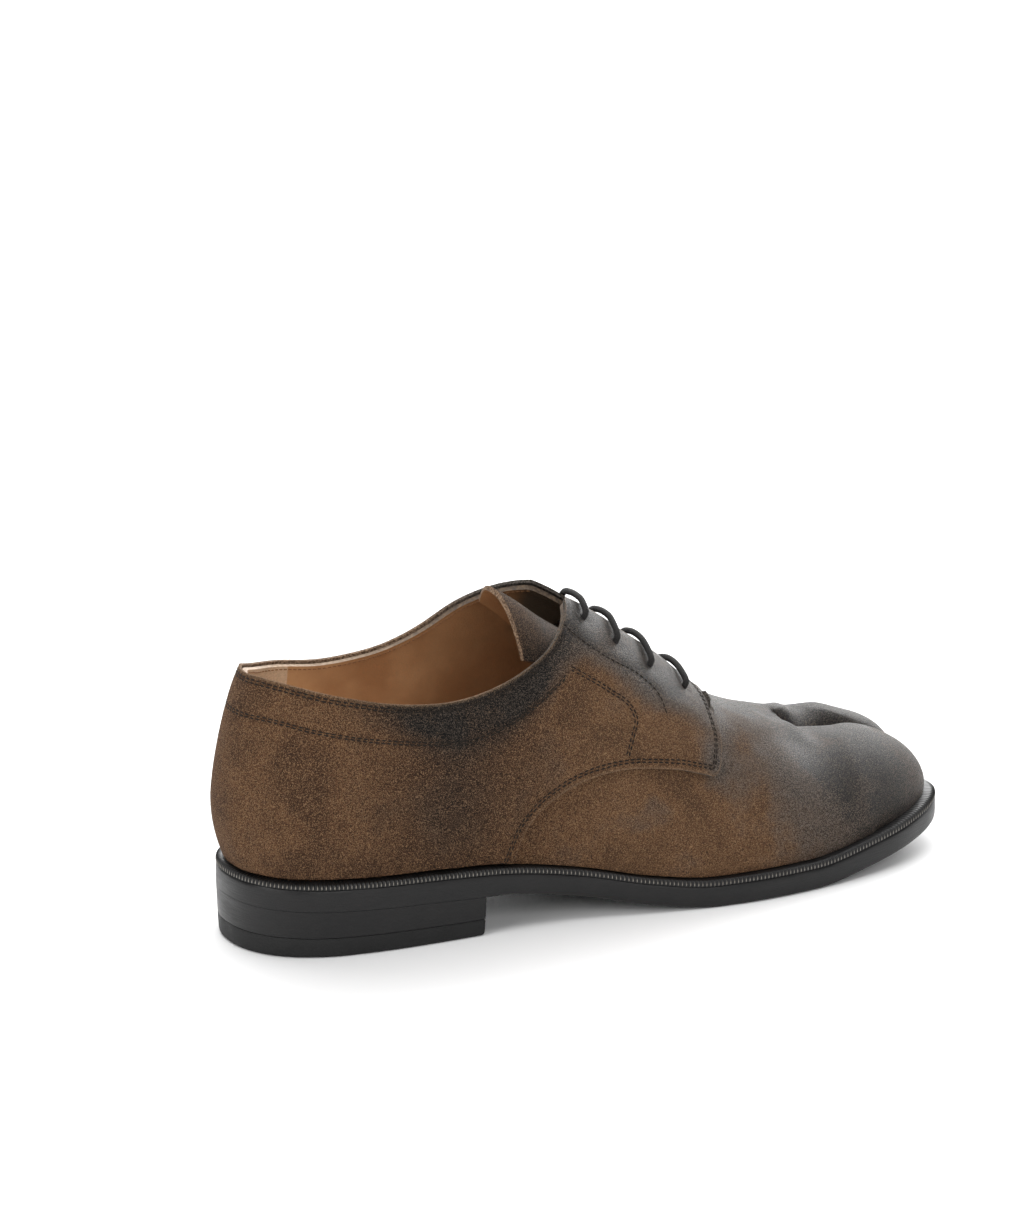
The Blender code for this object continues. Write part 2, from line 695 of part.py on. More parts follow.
def lace_bar(number, look, parent):
    """One run of lace from eyelet to eyelet: over the facings, and straight across the throat."""
    eyelet_x, half = EYELETS[number - 1]
    off_form = LAYER_GAP + QUARTER_THICKNESS + LACE_GAP + LACE_RADIUS
    lateral_edge = -look_up(THROAT, "lateral", eyelet_x) / half
    medial_edge = look_up(THROAT, "medial", eyelet_x + LACE_SKEW) / half

    def over_facing(share):
        x = eyelet_x + LACE_SKEW * (1 + share) / 2
        y = crest_y(LATERAL, x) + half * share
        return np.array([x, y, form_height(x, y)]) + form_normal(x, y) * off_form

    path = []
    for share in np.linspace(-1, 1, LACE_STEPS + 1):
        across = (share - lateral_edge) / (medial_edge - lateral_edge)
        if 0 < across < 1:
            place = over_facing(lateral_edge) * (1 - across) + over_facing(medial_edge) * across
            path.append(place + np.array([0, 0, 4 * LACE_ARCH * across * (1 - across)]))
        else:
            path.append(over_facing(share))
    curve = bpy.data.curves.new(f"lace_bar_{number}", "CURVE")
    curve.dimensions = "3D"
    curve.bevel_depth = LACE_RADIUS * MM
    curve.bevel_resolution = 2
    curve.use_fill_caps = True
    spline = curve.splines.new("POLY")
    spline.points.add(len(path) - 1)
    for point, place in zip(spline.points, path):
        point.co = (*(place * MM), 1)
    return new_object(f"lace_bar_{number}", curve, look, parent)


def finish(name, colour, roughness):
    look = bpy.data.materials.new(name)
    look.use_nodes = True
    shader = look.node_tree.nodes["Principled BSDF"]
    shader.inputs["Base Color"].default_value = (*colour, 1)
    shader.inputs["Roughness"].default_value = roughness
    shader.inputs["Metallic"].default_value = 0
    return look


def corners(things):
    bpy.context.view_layer.update()
    graph = bpy.context.evaluated_depsgraph_get()
    places = []
    for thing in things:
        evaluated = thing.evaluated_get(graph)
        places += [evaluated.matrix_world @ vert.co for vert in evaluated.to_mesh().vertices]
        evaluated.to_mesh_clear()
    places = np.array(places)
    return places.min(axis=0), places.max(axis=0)


def main():
    for old in list(bpy.data.objects):
        bpy.data.objects.remove(old, do_unlink=True)
    shoe = bpy.data.collections.new(COLLECTION)
    bpy.context.scene.collection.children.link(shoe)
    origin = bpy.data.objects.new("shoe_origin", None)
    shoe.objects.link(origin)
    suede = finish("suede", (0.115, 0.066, 0.035), 0.9)
    lining = finish("lining_leather", (0.36, 0.19, 0.09), 0.55)
    edge_black = finish("black_edge", (0.012, 0.011, 0.011), 0.35)
    rubber = finish("black_rubber", (0.016, 0.016, 0.016), 0.6)
    cord = finish("lace_cord", (0.02, 0.017, 0.015), 0.75)
    things = [
        upper(suede, origin),
        quarters(suede, origin),
        tongue(suede, origin),
        insole(lining, origin),
        welt(edge_black, origin),
        outsole(edge_black, origin),
        heel_stack(edge_black, origin),
        heel_top_lift(rubber, origin),
    ]
    things += [lace_bar(number, cord, origin) for number in range(1, len(EYELETS) + 1)]
    low, high = corners(things)
    origin.location = (-(low[0] + high[0]) / 2, -(low[1] + high[1]) / 2, 0)


if __name__ == "__main__":
    main()
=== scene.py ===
"""Looks of the right tabi lace-up shoe: suede upper and quarters, lining, lace, welt, sole and heel.

Sizes are in millimetres, with x counted from the back of the sole, +Y to the medial side and +Z up.
They become metres in the shared frame where a mesh is made.
"""

import math
from collections import namedtuple

import bpy
import numpy as np
from mathutils import Matrix, Vector
from mathutils.bvhtree import BVHTree


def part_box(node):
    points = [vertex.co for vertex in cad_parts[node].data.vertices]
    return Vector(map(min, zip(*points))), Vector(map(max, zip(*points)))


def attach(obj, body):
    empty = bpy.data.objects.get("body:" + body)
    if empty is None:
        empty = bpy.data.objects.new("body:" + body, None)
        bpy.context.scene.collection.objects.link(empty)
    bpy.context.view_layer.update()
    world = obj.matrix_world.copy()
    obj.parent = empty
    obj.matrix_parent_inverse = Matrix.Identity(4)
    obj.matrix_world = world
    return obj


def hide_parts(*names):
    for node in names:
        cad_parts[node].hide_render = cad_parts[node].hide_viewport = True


MM = 0.001
LATERAL = -1
MEDIAL = 1
SIDES = (LATERAL, MEDIAL)
RANDOM_SEED = 41
TINY = 1e-6


def table(fields, *rows):
    """Rows under named columns."""
    row = namedtuple("Row", fields)
    return tuple(row(*values) for values in rows)


# Driving sizes, as in the part
TIP_X = {LATERAL: 274.7, MEDIAL: 280.0}
TIP_Y = {LATERAL: -9.0, MEDIAL: 22.0}
OUTSOLE_THICKNESS = 7.75
WELT_GAP = 0.3
WELT_THICKNESS = 2.0
WELT_UNDER_WALL = 3.0
WALL = 1.8
LAYER_GAP = 0.5
QUARTER_THICKNESS = 1.2
QUARTER_RISE = 1.0
TONGUE_THICKNESS = 1.8
TONGUE_GAP = 1.6
HEEL_BREAST_X = 83.0
HEEL_TAPER = 0.6
TOP_LIFT_BACK = 7.2
TOP_LIFT_BREAST = 5.8
LACE_RADIUS = 1.2
LACE_SKEW = 6.0
HEEL_ROUND = 32.0
HEEL_POWER = 2.15
TOE_ROUND = {LATERAL: 34.0, MEDIAL: 45.0}
TOE_POWER = {LATERAL: 2.6, MEDIAL: 2.2}
INNER_ROUND = 13.0
INNER_POWER = 2.0
CLEFT_ROOT_X = 216.0
CLEFT_GAP = 2.0
CLEFT_GAP_RUN = 12.0
CLEFT_FLOOR_X = 248.0
CLEFT_FLOOR_POWER = 1.2
SOLE_NOTCH_X = 257.0
WELT_NOTCH_X = 253.0
POLE_X = 236.0
POLE_Y = {LATERAL: -6.0, MEDIAL: 18.0}
POLE_Z = {LATERAL: 45.3, MEDIAL: 44.4}
DROP_START_X = {LATERAL: 216.0, MEDIAL: 224.0}
DROP_END_X = {LATERAL: 227.0, MEDIAL: 236.0}
FLANK_START_X = {LATERAL: 198.0, MEDIAL: 206.0}
FLANK_UP = 0.87
FLANK_BLEND = 0.12
FRONT_FULLNESS = 2.05
CLEFT_FULLNESS = 2.4
CLEFT_TURN_POWER = 4
HEEL_FAN_X = 36.0
HEEL_PINCH = 0.15
TUCK_SHARE = 0.28
FACING_TOP_X = 127.0
FACING_CORNER_X = 118.0
THROAT_X = 189.0
TONGUE_BACK_X = 105.5
TONGUE_FRONT_X = 194.0

SOLE = table(
    "x lateral medial underside",
    (0, 31.5, 30.0, 17.5),
    (20, 32.5, 31.0, 16.8),
    (45, 35.6, 32.0, 15.8),
    (70, 36.5, 31.5, 14.9),
    (95, 36.2, 29.5, 12.9),
    (120, 37.8, 28.5, 8.6),
    (145, 42.8, 31.5, 3.0),
    (170, 47.2, 39.0, 0.0),
    (190, 48.0, 44.0, 0.0),
    (208, 46.4, 46.5, 0.0),
    (235, 41.0, 46.5, 3.4),
    (260, 33.3, 44.0, 7.6),
    (280, 27.0, 41.0, 11.3),
)

LAST = table(
    "x crest_y crest_z fullness ledge tuck overhang",
    (0, -1.0, 117.5, 2.2, 4.5, 5.4, 0.0),
    (36, -1.0, 123.0, 2.4, 4.5, 3.4, 0.0),
    (80, -0.5, 123.0, 2.4, 4.5, 2.6, 0.0),
    (100, 0.4, 119.5, 2.4, 3.4, 1.8, 2.5),
    (115, 1.6, 114.8, 2.35, 3.0, 1.5, 4.0),
    (127, 2.2, 109.3, 2.3, 3.0, 1.5, 4.0),
    (140, 2.4, 100.8, 2.2, 3.0, 1.5, 3.0),
    (152, 2.6, 91.2, 2.15, 3.2, 1.5, 1.5),
    (164, 2.9, 82.0, 2.1, 3.4, 1.5, 0.5),
    (178, 3.3, 69.9, 2.0, 3.6, 1.5, 0.0),
    (194, 4.0, 59.8, 2.0, 3.7, 1.5, 0.0),
    (205, 4.4, 56.0, 2.0, 3.8, 1.4, 0.0),
    (216, 4.7, 52.6, 2.0, 3.9, 1.3, 0.0),
    (226, 5.3, 50.2, 2.0, 3.8, 1.1, 0.0),
    (236, 6.0, 46.5, 2.0, 3.7, 1.0, 0.0),
    (260, 8.0, 42.0, 2.0, 4.3, 0.8, 0.0),
    (280, 9.0, 30.0, 2.0, 4.4, 0.8, 0.0),
)

TOPLINE = table(
    "x lateral medial",
    (12, 95.7, 95.7), (21, 94.0, 91.6), (36, 90.3, 88.8), (48, 87.3, 87.3), (60, 85.4, 87.8),
    (72, 84.6, 89.8), (86, 86.0, 95.5), (101, 90.5, 104.0), (115, 97.8, 108.6),
    (127, 108.5, 110.0),
)

THROAT = table(
    "x lateral medial",
    (127, 9.9, 7.5), (150, 8.6, 6.8), (170, 7.4, 6.2), (186, 5.2, 4.8), (189, 0.0, 0.0),
)

QUARTER = table(
    "x low_edge",
    (92.5, 20.0), (95, 26.5), (98, 34.2), (103, 40.6), (112, 46.9), (125, 51.6), (137, 52.8),
    (150, 51.2), (158, 49.6), (166, 47.0), (171, 45.8), (173, 47.4), (175, 50.9), (176.6, 53.8),
    (177.7, 56.6), (178.6, 61.0), (180, 66.0),
)

TONGUE = table(
    "x half_width to_lateral sag",
    (105, 20.5, 5.5, 1.6),
    (113, 20.5, 5.2, 4.2),
    (124, 20.5, 4.6, 8.0),
    (140, 19.6, 3.4, 8.5),
    (160, 17.5, 1.6, 5.5),
    (180, 14.0, 0.0, 1.0),
    (188, 12.4, 0.0, -1.2),
    (195, 11.0, 0.0, -1.2),
)

EYELETS = table(
    "x from_middle",
    (131.0, 16.3), (141.8, 19.4), (154.8, 20.6), (168.8, 20.3),
)

# Seams seen on the side of the quarter: the collar band, and the two lines below the eyelets
BAND = table(
    "x height",
    (4, 83.9), (12.5, 83.2), (20.7, 81.3), (30, 79.1), (39.4, 76.8), (52.4, 74.2), (61.8, 72.7),
    (71.3, 71.4), (78.6, 71.1), (91.2, 73.8), (101.4, 77.9), (110.5, 83.0), (119.5, 88.5),
)
UPPER_EYESTAY = table(
    "x height",
    (120.5, 102.5), (124.4, 98.3), (134.7, 90.0), (148.7, 80.6), (154.0, 74.5), (155.6, 67.2),
)
LOWER_EYESTAY = table(
    "x height",
    (119.5, 88.5), (133.2, 79.1), (140.5, 72.8), (141.8, 69.0), (139.8, 64.2), (136.5, 56.8),
)
ROW_APART = 1.3
TOPLINE_ROWS = (1.3, 2.7)
EDGE_ROWS = (1.9, 3.3)
LINING_ROW = 2.0
SEAM_STEP = 1.0

# Lower border of the dark, rubbed zone below the collar and the facings
DARK_BORDER = table(
    "x height",
    (36, 86.0), (52, 76.5), (68, 67.5), (82, 66.5), (98.6, 73.0), (112, 84.0), (122, 91.0),
    (134, 88.5), (148, 77.0), (165, 66.0), (180, 56.0),
)

# How finely the pieces are meshed
HEEL_STEPS = 30
TOE_STEPS = 22
UPPER_ROWS = 44
QUARTER_TOP_ROWS = 30
QUARTER_LOW_ROWS = 44
QUARTER_TOP_BAND = 20.0
TONGUE_STEPS = 70
TONGUE_ROWS = 40
HEEL_SIDE_STEPS = 26
SOLE_SIDE_STEPS = 110
DENSE = 320


def smooth(x, knots, values):
    """Cubic through the knots, level where two neighbours are equal and beyond the ends."""
    knots = np.asarray(knots, float)
    values = np.asarray(values, float)
    steps = np.diff(knots)
    slopes = np.diff(values) / steps
    tangents = np.concatenate([slopes[:1], np.zeros(len(slopes) - 1), slopes[-1:]])
    between = (slopes[:-1] * steps[1:] + slopes[1:] * steps[:-1]) / (steps[:-1] + steps[1:])
    tangents[1:-1] = np.where(slopes[:-1] * slopes[1:] == 0, 0, between)
    x = np.clip(x, knots[0], knots[-1])
    i = np.clip(np.searchsorted(knots, x, side="right") - 1, 0, len(steps) - 1)
    t = (x - knots[i]) / steps[i]
    rise = t * t * (3 - 2 * t)
    leave = t * (1 - t) ** 2 * tangents[i] * steps[i]
    arrive = t * t * (t - 1) * tangents[i + 1] * steps[i]
    return values[i] + (values[i + 1] - values[i]) * rise + leave + arrive


def look_up(rows, field, x):
    return smooth(x, [row.x for row in rows], [getattr(row, field) for row in rows])


def side_name(side):
    return "lateral" if side == LATERAL else "medial"


def ease(share):
    share = np.clip(share, 0, 1)
    return share * share * (3 - 2 * share)


def ramp(value, start, end):
    """Rises softly from 0 at the start to 1 at the end, which may be the lower of the two."""
    return ease((value - start) / (end - start))


def rounded(share, power):
    """Rises from 0 to 1 with the round shoulder of a superellipse."""
    share = np.clip(share, 0, 1)
    return (1 - (1 - share) ** power) ** (1 / power)


def hill(distance, width):
    """A soft bump of height 1 and the given half width."""
    return np.exp(-(np.asarray(distance) / width) ** 2)


Spot = namedtuple("Spot", "height u half_u v half_v")


def spot(row, u, v):
    """A soft oval bump over two coordinates."""
    return row.height * hill(u - row.u, row.half_u) * hill(v - row.v, row.half_v)


def unit(vectors):
    return vectors / np.linalg.norm(vectors, axis=-1, keepdims=True)


def outsole_under(x):
    return look_up(SOLE, "underside", x)


def outsole_top(x):
    return outsole_under(x) + OUTSOLE_THICKNESS


def upper_low(x):
    return outsole_top(x) + WELT_GAP + WELT_THICKNESS + WELT_GAP


def outer_edge(side, x, inset):
    """y of the sole's outer edge at x, drawn in by inset."""
    half = look_up(SOLE, side_name(side), x) - inset
    heel = rounded((x - inset) / HEEL_ROUND, HEEL_POWER)
    toe = rounded((TIP_X[side] - inset - x) / TOE_ROUND[side], TOE_POWER[side])
    return TIP_Y[side] + (side * half * heel - TIP_Y[side]) * toe


def inner_edge(side, x, inset, half_gap):
    """y of the edge that faces the other toe."""
    toe = rounded((TIP_X[side] - inset - x) / INNER_ROUND, INNER_POWER)
    middle = look_up(LAST, "crest_y", x)
    return TIP_Y[side] + (middle + side * half_gap - TIP_Y[side]) * toe


def crest_y(side, x):
    """The ridge of the upper, which forks to the two toes."""
    main = look_up(LAST, "crest_y", min(x, CLEFT_ROOT_X))
    return main + (POLE_Y[side] - main) * ramp(x, CLEFT_ROOT_X, POLE_X)


def dropped(side, x, start, end):
    """Height of the ridge, which drops to the top of a toe between two places."""
    drop = ramp(x, start, end)
    return look_up(LAST, "crest_z", x) * (1 - drop) + POLE_Z[side] * drop


def crest_z(side, x):
    """Height of the ridge, which drops to the lateral toe sooner than to the medial one."""
    return dropped(side, x, DROP_START_X[side], DROP_END_X[side])


def flank_z(side, x):
    """Height that the flank of a toe is drawn to, falling more slowly than its ridge."""
    return dropped(side, x, FLANK_START_X[side], POLE_X)


def cleft_floor(x):
    root_z = look_up(LAST, "crest_z", CLEFT_ROOT_X)
    climb = np.clip((CLEFT_FLOOR_X - x) / (CLEFT_FLOOR_X - CLEFT_ROOT_X), 0, 1) ** CLEFT_FLOOR_POWER
    return upper_low(x) + (root_z - upper_low(x)) * climb


Station = namedtuple("Station", "side belly crest low top flank fullness tuck pinch")


def station(side, belly, crest, low, top, fullness, tuck, pinch=0.0, flank=None):
    flank = top if flank is None else flank
    return Station(side, np.array(belly), np.array(crest), low, top, flank, fullness, tuck, pinch)


def tuck_under(side, x):
    """How far the lower edge lies under the belly; more over the medial arch."""
    return look_up(LAST, "tuck", x) + (look_up(LAST, "overhang", x) if side == MEDIAL else 0.0)


def belly_inset(side, x):
    return look_up(LAST, "ledge", x) - tuck_under(side, x)


def fan_x(inset, angle):
    """x of a place on the round back of the heel, drawn in by inset; angle 0 is straight back."""
    return inset + (HEEL_FAN_X - inset) * (1 - math.cos(angle))


def heel_station(side, angle):
    """A section that fans out from the middle of the heel."""
    x = fan_x(belly_inset(side, 0), angle)
    crest = (HEEL_FAN_X, look_up(LAST, "crest_y", 0))
    belly = (x, outer_edge(side, x, belly_inset(side, x)) if angle > 0 else crest[1])
    return station(side, belly, crest, upper_low(x), crest_z(side, x), look_up(LAST, "fullness", x),
                   tuck_under(side, x), HEEL_PINCH * math.sin(2 * angle) ** 2)


def side_station(side, x):
    belly = (x, outer_edge(side, x, belly_inset(side, x)))
    crest = (x, crest_y(side, x))
    return station(side, belly, crest, upper_low(x), crest_z(side, x), look_up(LAST, "fullness", x),
                   tuck_under(side, x), flank=flank_z(side, x))


def toe_station(side, angle):
    """A section that fans out from the top of one toe; a right angle is straight ahead."""
    inset = belly_inset(side, TIP_X[side])
    turn = math.sin(angle)
    x = POLE_X + (TIP_X[side] - inset - POLE_X) * turn
    belly = (x, outer_edge(side, x, inset))
    fullness = look_up(LAST, "fullness", POLE_X) * (1 - turn) + FRONT_FULLNESS * turn
    return station(side, belly, (POLE_X, POLE_Y[side]), upper_low(x), POLE_Z[side], fullness,
                   tuck_under(side, x))


def cleft_station(side, x):
    """A section from the wall inside the split up to the ridge of the toe."""
    inset = belly_inset(side, TIP_X[side])
    half_gap = CLEFT_GAP / 2 * ease((x - CLEFT_ROOT_X) / CLEFT_GAP_RUN)
    belly = (x, inner_edge(side, x, inset, half_gap))
    ridge_x = min(x, POLE_X)
    crest = (ridge_x, crest_y(side, ridge_x))
    turn = max(0.0, x - POLE_X) / (TIP_X[side] - inset - POLE_X)
    late = turn ** CLEFT_TURN_POWER
    fullness = CLEFT_FULLNESS * (1 - late) + FRONT_FULLNESS * late
    tuck = tuck_under(side, x) * late
    return station(side, belly, crest, cleft_floor(x), crest_z(side, ridge_x), fullness, tuck)


def dense_section(place):
    """Many points from the lower edge of a section to the ridge: x, y, z and distance to the ridge."""
    turn = np.linspace(0, math.pi / 2, DENSE)
    out = np.cos(turn).clip(0) ** (2 / place.fullness)
    up = np.sin(turn) ** (2 / place.fullness)
    reach = place.belly - place.crest
    width = float(np.hypot(*reach))
    away = width * out * (1 - place.pinch * up) - place.tuck * (1 - up / TUCK_SHARE).clip(0) ** 2
    flat = place.crest + np.outer(away, reach / max(width, TINY))
    top = place.flank + (place.top - place.flank) * ease((up - FLANK_UP) / FLANK_BLEND)
    return np.column_stack([flat, place.low + (top - place.low) * up, away])


def cut_where(points, over):
    """The points up to where over first turns positive, ending on the crossing."""
    beyond = np.flatnonzero(over > 0)
    if len(beyond) == 0:
        return points
    k = max(int(beyond[0]), 1)
    share = over[k - 1] / (over[k - 1] - over[k])
    return np.vstack([points[:k], points[k - 1] + (points[k] - points[k - 1]) * share])


def opened(place):
    """A section of the form, ended at the topline or at the edge of the throat."""
    points = dense_section(place)
    side = side_name(place.side)
    above = points[:, 2] - look_up(TOPLINE, side, points[:, 0])
    above = np.where(points[:, 0] > FACING_TOP_X, -1.0, above)
    inside = look_up(THROAT, side, points[:, 0]) - points[:, 3]
    inside = np.where((points[:, 0] < FACING_CORNER_X) | (points[:, 0] >= THROAT_X), -1.0, inside)
    return cut_where(points, np.maximum(above, inside))


def started_at(points, height):
    """The part of a section above a height."""
    return cut_where(points[::-1], height - points[::-1, 2])[::-1]


def arc_length(points):
    steps = np.linalg.norm(np.diff(points, axis=0), axis=1)
    return np.concatenate([[0], np.cumsum(steps)])


def at_lengths(points, wanted):
    length = arc_length(points)
    return np.column_stack([np.interp(wanted, length, values) for values in points.T])


def resampled(points, rows):
    """The section again as rows of equal length."""
    points = points[:, :3]
    return at_lengths(points, np.linspace(0, arc_length(points)[-1], rows + 1))


def resampled_from_top(points):
    """The section again with close rows below its upper edge and wider ones further down."""
    points = points[:, :3]
    whole = arc_length(points)[-1]
    top = min(QUARTER_TOP_BAND, whole / 2)
    low = np.linspace(0, whole - top, QUARTER_LOW_ROWS + 1)[:-1]
    return at_lengths(points, np.concatenate([low, np.linspace(whole - top, whole, QUARTER_TOP_ROWS + 1)]))


def quarter_angles(steps):
    return [math.radians(90) * k / steps for k in range(steps + 1)]


def form_height(x, y):
    """Height of the form's top over a point near its ridge."""
    side = LATERAL if y < crest_y(LATERAL, x) else MEDIAL
    place = side_station(side, x)
    width = abs(place.belly[1] - place.crest[1])
    share = min(abs(y - place.crest[1]) / width, 1)
    return place.low + (place.top - place.low) * (1 - share ** place.fullness) ** (1 / place.fullness)


def form_normal(x, y, step=0.5):
    slope_x = (form_height(x + step, y) - form_height(x - step, y)) / (2 * step)
    slope_y = (form_height(x, y + step) - form_height(x, y - step)) / (2 * step)
    return unit(np.array([-slope_x, -slope_y, 1.0]))


def off_form(x, y, distance):
    return np.array([x, y, form_height(x, y)]) + form_normal(x, y) * distance


def along_bar(row, share):
    """x and y on a run of lace; share -1 is the lateral eyelet and 1 the medial one."""
    x = row.x + LACE_SKEW * (1 + share) / 2
    return x, crest_y(LATERAL, x) + row.from_middle * share


# Meshes in the shared frame
BALL_X = (150, 230)
BALL_SAMPLES = 400
SHARP_DEGREES = 40
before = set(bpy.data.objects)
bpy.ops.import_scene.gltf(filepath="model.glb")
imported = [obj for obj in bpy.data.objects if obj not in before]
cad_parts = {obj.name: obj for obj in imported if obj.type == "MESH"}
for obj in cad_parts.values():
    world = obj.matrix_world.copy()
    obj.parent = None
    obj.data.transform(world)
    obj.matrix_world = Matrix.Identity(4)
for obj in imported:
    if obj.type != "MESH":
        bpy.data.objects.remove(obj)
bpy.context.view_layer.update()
outsole_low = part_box("outsole")[0]
widest_y = outer_edge(LATERAL, np.linspace(*BALL_X, BALL_SAMPLES), 0.0).min()
SHIFT = np.array([outsole_low.x / MM, outsole_low.y / MM - widest_y, 0.0])
random = np.random.default_rng(RANDOM_SEED)


def welded(points, faces, columns):
    """Points at the same place become one, and faces keep only their different corners."""
    _, first, new = np.unique(np.round(points, 3), axis=0, return_index=True, return_inverse=True)
    new = new.reshape(-1)
    kept = []
    for face in faces:
        corners = []
        for k in face:
            if new[k] not in corners:
                corners.append(int(new[k]))
        if len(corners) > 2:
            kept.append(corners)
    return points[first], kept, {name: values[first] for name, values in columns.items()}


def make_mesh(name, points, faces, columns=None, weld=True):
    points = np.asarray(points, float)
    columns = columns or {}
    if weld:
        points, faces, columns = welded(points, faces, columns)
    mesh = bpy.data.meshes.new(name)
    mesh.from_pydata(((points + SHIFT) * MM).tolist(), [], [list(face) for face in faces])
    for key, values in columns.items():
        set_column(mesh, key, values)
    mesh.update()
    return mesh


def read_all(items, key, width, kind=np.float32):
    values = np.empty(len(items) * width, kind)
    items.foreach_get(key, values)
    return values.reshape(-1, width)


def mesh_points(mesh):
    return read_all(mesh.vertices, "co", 3).astype(float) / MM - SHIFT


def mesh_normals(mesh):
    return read_all(mesh.vertex_normals, "vector", 3).astype(float)


def column(mesh, name):
    return read_all(mesh.attributes[name].data, "value", 1).astype(float).ravel()


def set_column(mesh, name, values):
    layer = mesh.attributes.get(name) or mesh.attributes.new(name, "FLOAT", "POINT")
    layer.data.foreach_set("value", np.broadcast_to(values, len(mesh.vertices)).astype(np.float32))


def move_points(mesh, places):
    mesh.vertices.foreach_set("co", ((places + SHIFT) * MM).astype(np.float32).ravel())
    mesh.update()


def raise_points(mesh, heights):
    """Moves each point along its normal by a height in millimetres."""
    move_points(mesh, mesh_points(mesh) + mesh_normals(mesh) * np.reshape(heights, (-1, 1)))


def linked(name, data):
    """A new object in the scene."""
    item = bpy.data.objects.new(name, data)
    bpy.context.scene.collection.objects.link(item)
    return item


def place_piece(name, mesh, look, replaced=()):
    mesh.shade_smooth()
    mesh.set_sharp_from_angle(angle=math.radians(SHARP_DEGREES))
    piece = linked(name, mesh)
    if not mesh.materials:
        mesh.materials.append(look)
    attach(piece, "root")
    if replaced:
        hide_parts(*replaced)


def thickened(mesh, thickness, looks, shares=None):
    """A closed wall from an outer skin: outside, inside and rim take the first, second and third look."""
    carrier = linked("carrier", mesh)
    wall = carrier.modifiers.new("wall", "SOLIDIFY")
    if shares is not None:
        group = carrier.vertex_groups.new(name="wall")
        for index, share in enumerate(shares):
            group.add([index], float(share), "REPLACE")
        wall.vertex_group = group.name
    wall.thickness = thickness * MM
    wall.offset = -1
    wall.use_even_offset = False
    wall.use_quality_normals = True
    wall.material_offset = 1
    wall.material_offset_rim = 2
    for look in looks:
        mesh.materials.append(look)
    graph = bpy.context.evaluated_depsgraph_get()
    solid = bpy.data.meshes.new_from_object(carrier.evaluated_get(graph))
    bpy.data.objects.remove(carrier)
    return solid


def loft(lines, side, points, faces):
    """Adds a skin over a row of sections, facing out on the given side."""
    rows = len(lines[0])
    first = len(points)
    for line in lines:
        points.extend(line)
    for i in range(len(lines) - 1):
        for a in range(first + i * rows, first + (i + 1) * rows - 1):
            corner = (a, a + rows, a + rows + 1, a + 1)
            faces.append(corner if side == LATERAL else corner[::-1])
    return first


def ring_faces(first, rings, sides, closed=False):
    """Quads between rings of points that follow one another, the last one back to the first if closed."""
    faces = []
    for k in range(rings if closed else rings - 1):
        here = first + k * sides
        after = first + (k + 1) % rings * sides
        for j in range(sides):
            there = (j + 1) % sides
            faces.append((here + j, here + there, after + there, after + j))
    return faces


def tube_faces(first, rings, sides):
    """Quads between rings, and a cap on each end."""
    last = first + (rings - 1) * sides
    caps = [tuple(range(first, first + sides))[::-1], tuple(range(last, last + sides))]
    return ring_faces(first, rings, sides) + caps


def round_angles(sides):
    return np.arange(sides) * 2 * math.pi / sides


def circle(sides, across, up):
    """Unit vectors all round, from across to up."""
    angles = round_angles(sides)
    return np.outer(np.cos(angles), across) + np.outer(np.sin(angles), up)


def from_top(lines):
    """How far each point of each section lies below the section's upper edge."""
    return np.concatenate([arc_length(line)[-1] - arc_length(line) for line in lines])


def up_share(lines):
    return np.concatenate([arc_length(line) / max(arc_length(line)[-1], TINY) for line in lines])


# Burnish: where the suede is rubbed dark and smooth
TOE_LEAN = 42.0
TOE_DARK = (181.0, 249.0)
TOE_FADE = (158.0, 188.0)
BORDER_HALF = 8.0
COLLAR_FADE = (26.0, 58.0)
THROAT_FADE = (192.0, 184.0)
DARK_MIDDLE = Spot(0.72, 71, 21, 52, 32)
MEDIAL_SHARE = 0.45
DARK_SPOTS = (Spot(0.6, 173, 8, 51, 9), Spot(0.25, 102, 12, 62, 18))
TONGUE_BURNISH = 0.66


def burnish(x, y, z, share):
    """Dark toe, facings, front of the collar and a patch down the middle of the quarter."""
    toe = ramp(x + TOE_LEAN * share, *TOE_DARK) * ramp(x, *TOE_FADE)
    above = z - look_up(DARK_BORDER, "height", x)
    facing = ramp(above, -BORDER_HALF, BORDER_HALF) * ramp(x, *COLLAR_FADE) * ramp(x, *THROAT_FADE)
    middle = spot(DARK_MIDDLE, x, z) * np.where(y < 0, 1.0, MEDIAL_SHARE)
    light = (1 - toe) * (1 - facing) * (1 - middle)
    for row in DARK_SPOTS:
        light = light * (1 - spot(row, x, z))
    return np.clip(1 - light, 0, 1)


def polyline_distance(u, v, knots):
    """Shortest distance in one view from each point to a line of knots."""
    best = np.full(len(u), np.inf)
    for start, end in zip(knots[:-1], knots[1:]):
        along = end - start
        share = ((u - start[0]) * along[0] + (v - start[1]) * along[1]) / max(along @ along, TINY ** 2)
        share = np.clip(share, 0, 1)
        best = np.minimum(best, np.hypot(u - start[0] - along[0] * share, v - start[1] - along[1] * share))
    return best


def smooth_path(knots, step):
    """A rounded line through the knots, with a point at every step."""
    length = arc_length(knots[:, :3])
    wanted = np.arange(0, length[-1], step)
    return np.column_stack([smooth(wanted, length, values) for values in knots.T])


def seam_knots(rows):
    return smooth_path(np.array(rows, float), SEAM_STEP)


def beside(knots, distance):
    """A line parallel to another in side view."""
    along = unit(np.gradient(knots, axis=0))
    return knots + np.column_stack([-along[:, 1], along[:, 0]]) * distance


def quarter_low_edge(x):
    return look_up(QUARTER, "low_edge", x)


EDGE_SPANS = ((92.6, 166.0), (166.0, 180.0))
EDGE_SAMPLES = 120
EDGE_END = (180.0, 70.0)
EDGE_STEP = 0.5
EDGE_SLACK = 0.05


